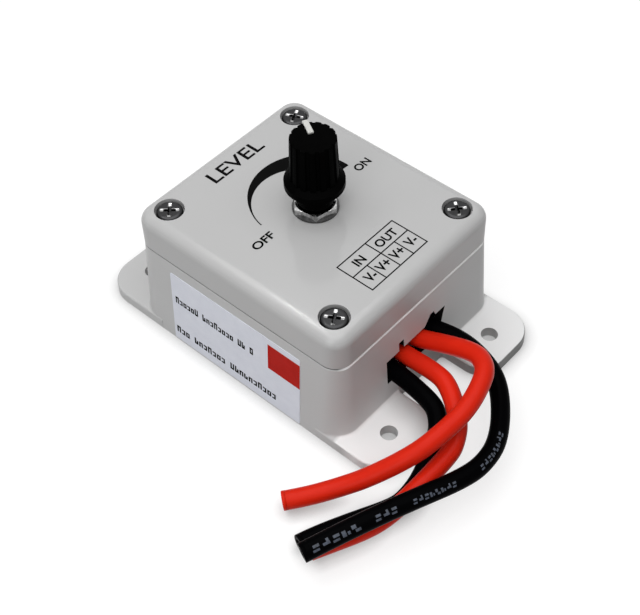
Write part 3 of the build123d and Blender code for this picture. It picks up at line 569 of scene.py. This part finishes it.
def moulded_abs(name, colour, cloud, shine):
    """ABS with wide flow clouds and slow waves in the skin, a polished top and duller drawn walls.

    The roughness is that of the way a face looks, plus a little that follows the clouds.
    """
    material, tree, shader = start_finish(name, IOR=1.54, **{"Specular IOR Level": shine})
    place = put(tree, "ShaderNodeTexCoord")
    flow = put(tree, "ShaderNodeTexNoise", {
        "Vector": place.outputs["Object"], "Scale": 1 / (FLOW_MM * MM), "Detail": 2.0})
    wave = put(tree, "ShaderNodeTexNoise", {
        "Vector": place.outputs["Object"], "Scale": 1 / (WAVE_MM * MM), "Detail": 1.0})
    mix = put(tree, "ShaderNodeMix", {
        FACTOR: flow.outputs["Fac"], FIRST: linear(colour), SECOND: linear(cloud)},
        data_type="RGBA")
    drawn = put(tree, "ShaderNodeMapRange", {
        "Value": facing(tree, "Z"), "To Min": WALL_ROUGH, "To Max": TOP_ROUGH})
    gloss = put(tree, "ShaderNodeMath", {
        0: flow.outputs["Fac"], 1: FLOW_ROUGH, 2: drawn.outputs["Result"]},
        operation="MULTIPLY_ADD")
    bump = put(tree, "ShaderNodeBump", {
        "Height": wave.outputs["Fac"], "Distance": WAVE_HEIGHT_MM * MM, "Strength": 1.0})
    tree.links.new(gloss.outputs[0], shader.inputs["Roughness"])
    tree.links.new(bump.outputs["Normal"], shader.inputs["Normal"])
    xyz = put(tree, "ShaderNodeSeparateXYZ", {"Vector": place.outputs["Object"]})
    return material, tree, shader, xyz.outputs, mix.outputs[MIXED]


def within(tree, value, low_mm, high_mm, soft_mm):
    """1 where a length lies between two limits, fading over a soft edge on both sides."""
    rise = put(tree, "ShaderNodeMapRange", {
        "Value": value, "From Min": (low_mm - soft_mm) * MM, "From Max": (low_mm + soft_mm) * MM})
    fall = put(tree, "ShaderNodeMapRange", {
        "Value": value, "From Min": (high_mm + soft_mm) * MM, "From Max": (high_mm - soft_mm) * MM})
    both = put(tree, "ShaderNodeMath", {
        0: rise.outputs["Result"], 1: fall.outputs["Result"]}, operation="MULTIPLY")
    return both.outputs[0]


def coloured(tree, base, colour, masks):
    """A colour laid over a base where all of several masks are 1: their product is the mix."""
    where = masks[0]
    for mask in masks[1:]:
        where = put(tree, "ShaderNodeMath", {0: where, 1: mask}, operation="MULTIPLY").outputs[0]
    return put(tree, "ShaderNodeMix", {
        FACTOR: where, FIRST: base, SECOND: linear(colour)}, data_type="RGBA").outputs[MIXED]


print("moulded skin: clouds of", FLOW_MM, "mm and waves of", WAVE_MM, "mm")

# %% Lid and base
SEAM_Z, HALF_LENGTH = 26.5, 32.5
WALL_LEAN = math.radians(3.45)
WIRE_END, OUTSIDE = 31.5, 60
SKIN = 0.15


def lid_abs():
    """The lid's ABS, with painted shade of the joint along its lower edge, but not at the wire end.
    """
    material, tree, shader, xyz, colour = moulded_abs(
        "grey_moulded_abs_lid", "#bebebe", "#bababa", 0.36)
    # painted shade: the gap of the joint along the lid's lower edge is darkened in the colour
    colour = coloured(tree, colour, "#2c2c2c", (
        within(tree, xyz["Z"], SEAM_Z - 1, SEAM_Z + 0.2, 0.1),
        within(tree, xyz["X"], -OUTSIDE, WIRE_END, 0.5)))
    tree.links.new(colour, shader.inputs["Base Color"])
    return material


def base_abs():
    """The base's ABS, with painted light and shade laid over it zone by zone, in order.

    Upright is x as it would be if the wall at the wire end didn't lean: x plus z times the slope.
    """
    material, tree, shader, xyz, colour = moulded_abs(
        "grey_moulded_abs_base", "#cacaca", "#c6c6c6", 0.2)
    x, y, z = (xyz[axis] for axis in "XYZ")
    slope = math.tan(WALL_LEAN)
    upright = put(tree, "ShaderNodeMath", {0: z, 1: slope, 2: x}, operation="MULTIPLY_ADD")
    wall_mm = HALF_LENGTH + SEAM_Z * slope
    ear_edge = within(tree, z, -1, 3.5, 0.3)
    zones = (
        # painted shade of the gap at the joint
        ("#505050", (within(tree, z, SEAM_Z - 0.18, SEAM_Z + 1, 0.1),)),
        # the rim along the joint at the wire end: a painted highlight where its rounded edge
        # catches the light
        ("#fafafa", (within(tree, z, SEAM_Z - 0.5, SEAM_Z + 1, 0.1),
                     within(tree, x, WIRE_END, OUTSIDE, 0.5))),
        # the tops of the ears at the wire end, painted paler as light
        ("#fafafa", (facing(tree, "Z"), within(tree, x, 32, OUTSIDE, 0.5),
                     within(tree, z, 1, 5, 0.5))),
        # the side of the ear next to the label, painted paler as light
        ("#fafafa", (within(tree, x, 36, OUTSIDE, 2.0), within(tree, y, -OUTSIDE, -24, 0.5),
                     ear_edge)),
        # the outer rims of both ears, painted dark as shade
        ("#868686", (facing(tree, "X"), within(tree, x, 44, OUTSIDE, 0.5), ear_edge)),
        # the sawn slot, painted black as shade from just under the wall's skin
        ("#0c0c0c", (within(tree, upright.outputs[0], 29, wall_mm - SKIN, 0.05),
                     within(tree, y, -14, 11, 0.5), within(tree, z, 7, 20, 0.5))),
    )
    for zone, masks in zones:
        colour = coloured(tree, colour, zone, masks)
    tree.links.new(colour, shader.inputs["Base Color"])
    return material


dress(lid_abs(), "lid")
dress(base_abs(), "lower_case")
print("case and lid in ABS")

# %% [markdown]
# ## Print on the lid
#
# The lid is screen printed in black: a crescent that widens from OFF to ON round the knob, a
# table that names the wires below it, and the words. Ink could be a mask in the lid's material,
# but its edges would be only as sharp as the mask. Thin meshes just over the lid stay sharp at
# any distance. Positions are read as on a page: u to the right of the words and v upwards.

# %% Screen-printed ink
LID_TOP = 36.5
ARC_CENTRE, ARC_START, ARC_SWEEP = (2.75, 4.4), 5, 179
ARC_RADIUS, INNER_RADIUS, INNER_SHIFT = 14.3, 11.25, 3.1
FINE_LINE, TAIL_FLARE, TAIL_SPREAD = 0.28, 0.5, 25
ARC_ROWS, ARC_COLUMNS = 9, 121
RULE, RULE_CORNER = 0.34, 0.15
TABLE_U = (-10.64, -5.73, -0.73, 4.09, 9.05)
TABLE_V = (-27.45, -21.64, -16.86)


def on_lid(u, v):
    """A place on the lid's top: right of the words is +Y, and up the page is -X."""
    return np.stack([-v, u, np.full_like(u, LID_TOP + INK_LIFT)], axis=-1)


def crescent(share, along):
    """An arc as wide as the gap between its circle and a smaller one that is shifted aside.

    The reach is how far the smaller circle comes from the arc's centre, and the width never falls
    under a fine line. At the tail the radius grows by a bell curve of the angle.
    """
    angle = np.radians(ARC_START + ARC_SWEEP * along)
    across = INNER_SHIFT * np.sin(angle)
    reach = INNER_SHIFT * np.cos(angle) + np.sqrt(INNER_RADIUS ** 2 - across ** 2)
    width = np.hypot(ARC_RADIUS - reach, FINE_LINE)
    flare = TAIL_FLARE * np.exp(-np.square(angle / np.radians(TAIL_SPREAD)))
    radius = ARC_RADIUS + flare - (1 - share) * width
    return on_lid(ARC_CENTRE[0] - radius * np.cos(angle), ARC_CENTRE[1] + radius * np.sin(angle))


def table_rules():
    """Boxes of the table's rules: three across, two outer uprights, a middle one, two short."""
    foot, middle, top = TABLE_V
    across = [(TABLE_U[0], v - RULE / 2, TABLE_U[-1], v + RULE / 2) for v in TABLE_V]
    uprights = [(u, foot - RULE_CORNER, top + RULE_CORNER) for u in (TABLE_U[0], TABLE_U[-1])]
    uprights += [(TABLE_U[2], foot, top), (TABLE_U[1], foot, middle), (TABLE_U[3], foot, middle)]
    return across + [(u - RULE / 2, low, u + RULE / 2, high) for u, low, high in uprights]


# screen-printed ink: a dense, slightly glossy black film with a faint unevenness
lid_ink = grained("screen_printed_black_ink", "#050505", "#090909", 2.5, (0.4, 0.5), 0.001,
                  IOR=1.5, **{"Specular IOR Level": 0.02})
along, share = np.meshgrid(np.linspace(0, 1, ARC_COLUMNS), np.linspace(0, 1, ARC_ROWS))
mesh_piece("print_crescent", crescent(share, along), grid_faces(ARC_ROWS, ARC_COLUMNS), lid_ink)
printed_patches("print_table", table_rules(), on_lid, (1, 1), lid_ink)
print("crescent and a table of", len(table_rules()), "rules printed")

# %% Words on the lid
LID_WORDS = (  # text, left, right, foot, height of its capitals, and how much bolder than the face
    ("LEVEL", -8.6, 8.9, 23.7, 4.1, 0.012),
    ("OFF", -18.6, -12.1, 0.64, 2.4, 0.028), ("ON", 16.9, 21.8, -0.18, 2.4, 0.028),
    ("IN", -7.3, -4.27, -20.6, 2.45, 0.028), ("OUT", 0.41, 7.2, -20.6, 2.45, 0.028),
    ("V-", -9.27, -6.27, -25.8, 2.7, 0.028), ("V+", -5.14, -1.27, -25.8, 2.7, 0.028),
    ("V+", -0.18, 3.68, -25.8, 2.7, 0.028), ("V-", 5.18, 8.23, -25.8, 2.7, 0.028))


def word_mesh(text, left, right, foot, cap, bold):
    """A word in the built-in typeface, stretched to its width and height, as places and faces."""
    face = bpy.data.curves.new("word", "FONT")
    face.body = text
    face.offset = bold
    setting = bpy.data.objects.new("word", face)
    mesh = bpy.data.meshes.new_from_object(setting)
    flat = np.empty(len(mesh.vertices) * 3, dtype=np.float32)
    mesh.vertices.foreach_get("co", flat)
    u, v = flat.reshape(-1, 3)[:, :2].astype(float).T
    faces = [tuple(polygon.vertices) for polygon in mesh.polygons]
    bpy.data.objects.remove(setting)
    bpy.data.meshes.remove(mesh)
    u = left + (u - u.min()) / np.ptp(u) * (right - left)
    v = foot + (v - v.min()) / np.ptp(v) * cap
    return on_lid(u, v), faces


for number, word in enumerate(LID_WORDS, 1):
    points, faces = word_mesh(*word)
    mesh_piece(f"print_word_{number}", points, faces, lid_ink)
print(len(LID_WORDS), "words printed")

# %% [markdown]
# ## The label
#
# A coated paper label covers most of one long wall, which leans out towards the floor. It has a
# plain red field at its wire end and two rows of small bold type, set here as strokes that don't
# read. They could be a mask in the paper's material; as thin patches on the label's own leaning
# plane they keep their sharp edges.

# %% Paper, red field and type
HALF_WIDTH, PAPER = 28.5, 0.15
RED_FIELD = (11.1, 13.2, 21.2, 21.5)
LABEL_ROWS = (  # letters of each word, left, foot, pitch, and height of high and of low letters
    ((6, 8, 2, 1), -19.9, 13.9, 1.32, 2.2, 1.6), ((3, 7, 10), -20.3, 3.2, 1.55, 2.2, 1.75))
BOLD_STROKES = (  # left, foot, right and top of each heavy stroke, as shares of one letter
    ((0.0, 0.0, 0.36, 1.0), (0.6, 0.0, 0.94, 1.0), (0.36, 0.74, 0.6, 1.0)),
    ((0.0, 0.0, 0.36, 1.0), (0.6, 0.0, 0.94, 1.0), (0.36, 0.0, 0.6, 0.26)),
    ((0.55, 0.0, 0.9, 1.0), (0.05, 0.72, 0.55, 1.0), (0.05, 0.0, 0.55, 0.28)),
    ((0.0, 0.0, 0.36, 1.0), (0.36, 0.0, 0.9, 0.28), (0.5, 0.28, 0.9, 0.62)),
    ((0.0, 0.0, 0.36, 1.0), (0.6, 0.0, 0.94, 1.0), (0.36, 0.74, 0.6, 1.0), (0.36, 0.0, 0.6, 0.26)))


def on_label(u, v):
    """A place on the paper: u along the wall and v up it; the wall leans out as it goes down."""
    wall = HALF_WIDTH + (SEAM_Z - v) * math.tan(WALL_LEAN)
    return np.stack([u, -wall - (PAPER + INK_LIFT) / math.cos(WALL_LEAN), v], axis=-1)


# coated paper: bluish white, smooth, with a faint cloud of fibres under the coating
paper = grained("coated_label_paper", "#eaedf7", "#e3e6f1", 3.0, (0.4, 0.5), 0.004, IOR=1.5)
# offset ink: a thin, even red with hardly any shine
red_ink = grained("offset_red_ink", "#c41c10", "#b8180e", 2.0, (0.4, 0.5), 0.001,
                  IOR=1.5, **{"Specular IOR Level": 0.04})
dress(paper, "rating_label")
printed_patches("label_red_field", [RED_FIELD], on_label, (4, 4), red_ink)
strokes = [box for row in LABEL_ROWS for box in type_boxes(BOLD_STROKES, *row)]
printed_patches("label_type", strokes, on_label, (1, 1), lid_ink)
print("label printed with", len(strokes), "strokes")

# %% [markdown]
# ## The lid screws
#
# Four steel pan-head screws hold the lid. What the eye finds is the driver's cross, with wings
# that run out in slopes and catch the light. Cutting it with a boolean leaves square pits, so
# each screw is one surface of revolution whose crown is lowered by a formula: the deeper of two
# crossed wings.

# %% Cross-head screws
SCREW_SPOTS = ((-26.1, -22.2), (26.1, -22.2), (26.1, 22.2), (-26.1, 22.2))
SCREW_TURNS = (42, 31, 50, 25)
SEAT_Z, HEAD_RADIUS, HEAD_HEIGHT, HEAD_ROUND = 34.7, 3.3, 1.7, 0.935
SHANK_RADIUS, SHANK_LENGTH, TIP_BEVEL = 1.5, 15.0, 0.1
CROSS_SPAN, CROSS_WIDTH, CROSS_DEPTH = 4.8, 1.0, 1.1
SHALLOW, STEEP_FROM, STEEP_RUN, WALL_RUN = 0.3, 0.9, 0.5, 0.28
# depths of the cross painted as bright steel: partly driver wear, partly a painted glint
RUBBED_AND_GLINT_FROM, RUBBED_AND_GLINT_TO = 0.02, 0.25
TURNED_GRAIN_MM = 0.5
CROWN_ROWS, RIM_ROWS, SCREW_COLUMNS = 60, 10, 240


def wing(along, across):
    """Depth of one wing, 0 to 1: a gentle ramp from each end, a steep one, and leaning walls."""
    inward = CROSS_SPAN / 2 - np.abs(along)
    steep = np.clip((inward - STEEP_FROM) / STEEP_RUN, 0, 1)
    ramp = np.clip(inward * SHALLOW, 0, SHALLOW) + steep * (1 - SHALLOW)
    wall = np.clip((CROSS_WIDTH / 2 - np.abs(across)) / WALL_RUN, 0, 1)
    return ramp * wall * wall * (3 - 2 * wall)


def screw(name, spot, turn, material):
    """A turned profile from the crown over the rim and under the head to the tip.

    Each row is a radius and a height. The crown's rows are lowered by the cross, and the points
    on its gentle ramps are marked as worn and as a painted glint.
    """
    bend = np.linspace(0, np.pi / 2, RIM_ROWS)
    top, flat = SEAT_Z + HEAD_HEIGHT, HEAD_RADIUS - HEAD_ROUND
    foot = SEAT_Z - SHANK_LENGTH
    below = np.array([
        (HEAD_RADIUS, SEAT_Z + BEVEL), (HEAD_RADIUS - BEVEL, SEAT_Z),
        (SHANK_RADIUS + BEVEL, SEAT_Z), (SHANK_RADIUS, SEAT_Z - BEVEL),
        (SHANK_RADIUS, foot + TIP_BEVEL), (SHANK_RADIUS - TIP_BEVEL, foot), (0.0, foot)])
    crown = np.linspace(0, flat, CROWN_ROWS, endpoint=False)
    radius = np.concatenate([crown, flat + HEAD_ROUND * np.sin(bend), below[:, 0]])
    height = np.concatenate([np.full(CROWN_ROWS, top), top - HEAD_ROUND * (1 - np.cos(bend)),
                             below[:, 1]])
    angle = np.linspace(2 * np.pi, 0, SCREW_COLUMNS, endpoint=False)
    u, v = radius[:, None] * np.cos(angle), radius[:, None] * np.sin(angle)
    on_crown = (height >= top)[:, None]
    sunk = np.maximum(wing(u, v), wing(v, u)) * on_crown
    c, s = math.cos(math.radians(turn)), math.sin(math.radians(turn))
    points = np.stack([spot[0] + c * u - s * v, spot[1] + s * u + c * v,
                       height[:, None] - CROSS_DEPTH * sunk], axis=-1)
    faces = grid_faces(len(radius), SCREW_COLUMNS, around=True)
    made = mesh_piece(name, points, faces, material)
    # painted glint and wear: the gentle ramps of the cross are marked bright
    rubbed_and_glint = (sunk > RUBBED_AND_GLINT_FROM) & (sunk < RUBBED_AND_GLINT_TO)
    worn_and_glint = made.data.attributes.new("worn_and_glint", "FLOAT", "POINT")
    worn_and_glint.data.foreach_set("value", rubbed_and_glint.astype(np.float32).ravel())
    return weld(made)


def steel_with_wear_and_painted_light():
    """Steel: a turned head painted dark as a dark reflection, and a cross that is
    partly rubbed bright by the driver and partly a painted glint.
    """
    material, tree, shader = start_finish("plain_turned_steel", Metallic=1.0)
    place = put(tree, "ShaderNodeTexCoord")
    noise = put(tree, "ShaderNodeTexNoise", {
        "Vector": place.outputs["Object"], "Scale": 1 / (TURNED_GRAIN_MM * MM), "Detail": 3.0})
    # painted reflection: the head's dark grey stands for the dark surroundings it reflects
    head = put(tree, "ShaderNodeMix", {
        FACTOR: noise.outputs["Fac"], FIRST: linear("#3c3c3d"), SECOND: linear("#323233")},
        data_type="RGBA")
    # bright steel on the cross's gentle ramps: partly wear, partly a painted glint
    rubbed_and_glint = put(tree, "ShaderNodeAttribute", attribute_name="worn_and_glint")
    mix = put(tree, "ShaderNodeMix", {
        FACTOR: rubbed_and_glint.outputs["Fac"], FIRST: head.outputs[MIXED], SECOND: linear("#b4b4b4")},
        data_type="RGBA")
    gloss = put(tree, "ShaderNodeMapRange", {
        "Value": rubbed_and_glint.outputs["Fac"], "To Min": 0.3, "To Max": 0.2})
    tree.links.new(mix.outputs[MIXED], shader.inputs["Base Color"])
    tree.links.new(gloss.outputs["Result"], shader.inputs["Roughness"])
    return material


steel = steel_with_wear_and_painted_light()
for number, (spot, turn) in enumerate(zip(SCREW_SPOTS, SCREW_TURNS), 1):
    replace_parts(screw(f"cross_screw_{number}", spot, turn, steel), f"lid_screw_{number}")
print(len(SCREW_SPOTS), "screws")

# %% [markdown]
# ## Knob, nut and washer
#
# The knob is moulded in black with a satin skin and a pale bar let into its top. The nut under it
# is plated bright, so it mostly shows the pale lid and the dark knob around it, and the washer is
# dull steel. Their CAD shapes are right, so they only need a finish, which one grained material
# with other numbers gives each of them.

# %% Knob and nut finishes
# satin ABS: so dark that only the edges of the flutes catch a sheen
black_abs = grained("black_satin_abs", "#020202", "#030303", 2.0, (0.24, 0.32), 0.003,
                    IOR=1.54, **{"Specular IOR Level": 0.006})
# moulded ABS of the pointer: a warm off-white, nearly even
pale_abs = grained("pale_moulded_abs", "#d2d2ce", "#c6c6c2", 1.0, (0.35, 0.45), 0.003, IOR=1.54)
# nickel plate: mirror-bright, with grey patches that are painted reflection of the dark things
# round it
nickel = grained("bright_nickel_plate", "#e4e4e4", "#8c8c8c", 1.3, (0.06, 0.14), 0.03,
                 contrast=0.3, Metallic=1.0)
# plain sheet steel: dark and dull beside the nut
dull_steel = grained("dull_sheet_steel", "#5c5c5c", "#444444", 1.0, (0.25, 0.35), 0.01,
                     Metallic=1.0)
dress(black_abs, "control_knob")
dress(pale_abs, "knob_pointer")
dress(nickel, "pot_nut")
dress(dull_steel, "pot_washer")
print("knob and nut dressed")

# %% [markdown]
# ## Inside the box
#
# The closed box hides a potentiometer and a small board. Each piece has its own trade finish.
# Components with metal legs are one solid, so their material turns from moulding to tinned wire
# where a coordinate leaves the body: it needs no second piece.

# %% Finishes inside
FLECK_MM, INSIDE_BUMP_MM = 0.6, 0.01


def legged(name, colour, fleck, axis, low_mm, high_mm):
    """A moulded body between two places along an axis, with bright tinned legs beyond them."""
    material, tree, shader = start_finish(name)
    place = put(tree, "ShaderNodeTexCoord")
    apart = put(tree, "ShaderNodeSeparateXYZ", {"Vector": place.outputs["Object"]})
    middle, half = (low_mm + high_mm) / 2 * MM, (high_mm - low_mm) / 2 * MM
    inside = put(tree, "ShaderNodeMath", {
        0: apart.outputs[axis], 1: middle, 2: half}, operation="COMPARE")
    noise = put(tree, "ShaderNodeTexNoise", {
        "Vector": place.outputs["Object"], "Scale": 1 / (FLECK_MM * MM)})
    body = put(tree, "ShaderNodeMix", {
        FACTOR: noise.outputs["Fac"], FIRST: linear(colour), SECOND: linear(fleck)},
        data_type="RGBA")
    mix = put(tree, "ShaderNodeMix", {
        FACTOR: inside.outputs[0], FIRST: linear("#c9c8c4"), SECOND: body.outputs[MIXED]},
        data_type="RGBA")
    metal = put(tree, "ShaderNodeMapRange", {
        "Value": inside.outputs[0], "To Min": 1.0, "To Max": 0.0})
    gloss = put(tree, "ShaderNodeMapRange", {
        "Value": noise.outputs["Fac"], "To Min": 0.28, "To Max": 0.5})
    tree.links.new(mix.outputs[MIXED], shader.inputs["Base Color"])
    tree.links.new(metal.outputs["Result"], shader.inputs["Metallic"])
    tree.links.new(gloss.outputs["Result"], shader.inputs["Roughness"])
    return material


def span(node, axis, trim_low, trim_high):
    """Where a node starts and ends along an axis in mm, less what its legs or tab take."""
    low, high = (np.array(corner)[axis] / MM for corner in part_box(node))
    return low + trim_low, high - trim_high


INSIDE = (  # name, colour, fleck, grain in mm, roughness, metal, nodes
    # zinc out of the die: grey, with a faint sugary grain
    ("die_cast_zinc", "#b9b8b4", "#a5a49f", 0.5, (0.3, 0.45), 1.0, ("pot_bushing", "pot_shaft")),
    # tinned sheet: bright, with soft clouds where the tin ran
    ("tinned_sheet_steel", "#b4b3ae", "#9f9e99", 1.5, (0.22, 0.38), 1.0,
     ("pot_cover", "pot_terminal_1", "pot_terminal_2", "pot_terminal_3")),
    # pressed paper and resin: brown and dull
    ("pressed_phenolic_paper", "#6d4020", "#5a3318", 0.7, (0.45, 0.6), 0.0, ("pot_wafer",)),
    # carbon film: soot black and dull
    ("printed_carbon_film", "#141414", "#202020", 0.3, (0.5, 0.65), 0.0, ("pot_track",)),
    # undyed nylon: a waxy cream
    ("natural_moulded_nylon", "#d9d3bf", "#cbc4ae", 2.0, (0.4, 0.5), 0.0, ("wiper_rotor",)),
    # rolled brass: yellow and bright
    ("stamped_spring_brass", "#c9a45a", "#b08c46", 0.8, (0.2, 0.35), 1.0, ("wiper_contact",)),
    # lacquer over laminate: green that lets the copper show as lighter patches
    ("green_solder_mask", "#14532a", "#0e6b33", 1.8, (0.3, 0.45), 0.0, ("circuit_board",)),
    # zinc plate: a cool, fine grey
    ("zinc_plated_steel", "#a9adb0", "#94989b", 0.5, (0.25, 0.4), 1.0,
     ("board_screw_1", "board_screw_2", "board_screw_3", "board_screw_4")),
    # dipped resin: glossy ochre
    ("dipped_ochre_resin", "#b9761f", "#a5671a", 1.0, (0.2, 0.32), 0.0, ("timing_capacitor",)),
    # extruded PVC: an even blue with a soft sheen
    ("blue_extruded_pvc", "#1d2f8c", "#182775", 2.0, (0.35, 0.45), 0.0,
     ("pot_lead_1", "pot_lead_2", "pot_lead_3")),
    # copper strand with a little tin on it: paler than bare copper
    ("tinned_copper_strand", "#c58f68", "#a8734e", 0.25, (0.25, 0.4), 1.0,
     ("core_in_negative", "core_in_positive", "core_out_positive", "core_out_negative")),
)
for name, colour, fleck, grain_mm, rough, metal, nodes in INSIDE:
    dress(grained(name, colour, fleck, grain_mm, rough, INSIDE_BUMP_MM, Metallic=metal), *nodes)
LEGGED = (  # name, colour, fleck, node, axis, what the legs or tab take at its low and high end
    # moulded epoxy: a greyish black with fine flecks
    ("moulded_epoxy_chip", "#161617", "#222223", "timer_chip", 2, 0.6, -1.0),
    ("moulded_epoxy_transistor", "#161617", "#222223", "switching_transistor", 2, 3.5, 6.5),
    ("moulded_epoxy_diode", "#141414", "#202020", "flyback_diode", 0, 2.4, 2.4),
    # shrunk PVC sleeve: dark blue, with the bare can at the top
    ("shrunk_pvc_sleeve", "#1a2250", "#232c66", "reservoir_capacitor", 2, -1.0, 0.25),
    # lacquer over ceramic: a biscuit colour
    *((f"lacquered_ceramic_{number}", "#c9a774", "#b8935f", f"resistor_{number}", 0, 1.8, 1.8)
      for number in (1, 2, 3)))
for name, colour, fleck, node, axis, low, high in LEGGED:
    dress(legged(name, colour, fleck, axis, *span(node, axis, low, high)), node)
print(len(INSIDE) + len(LEGGED), "finishes inside")
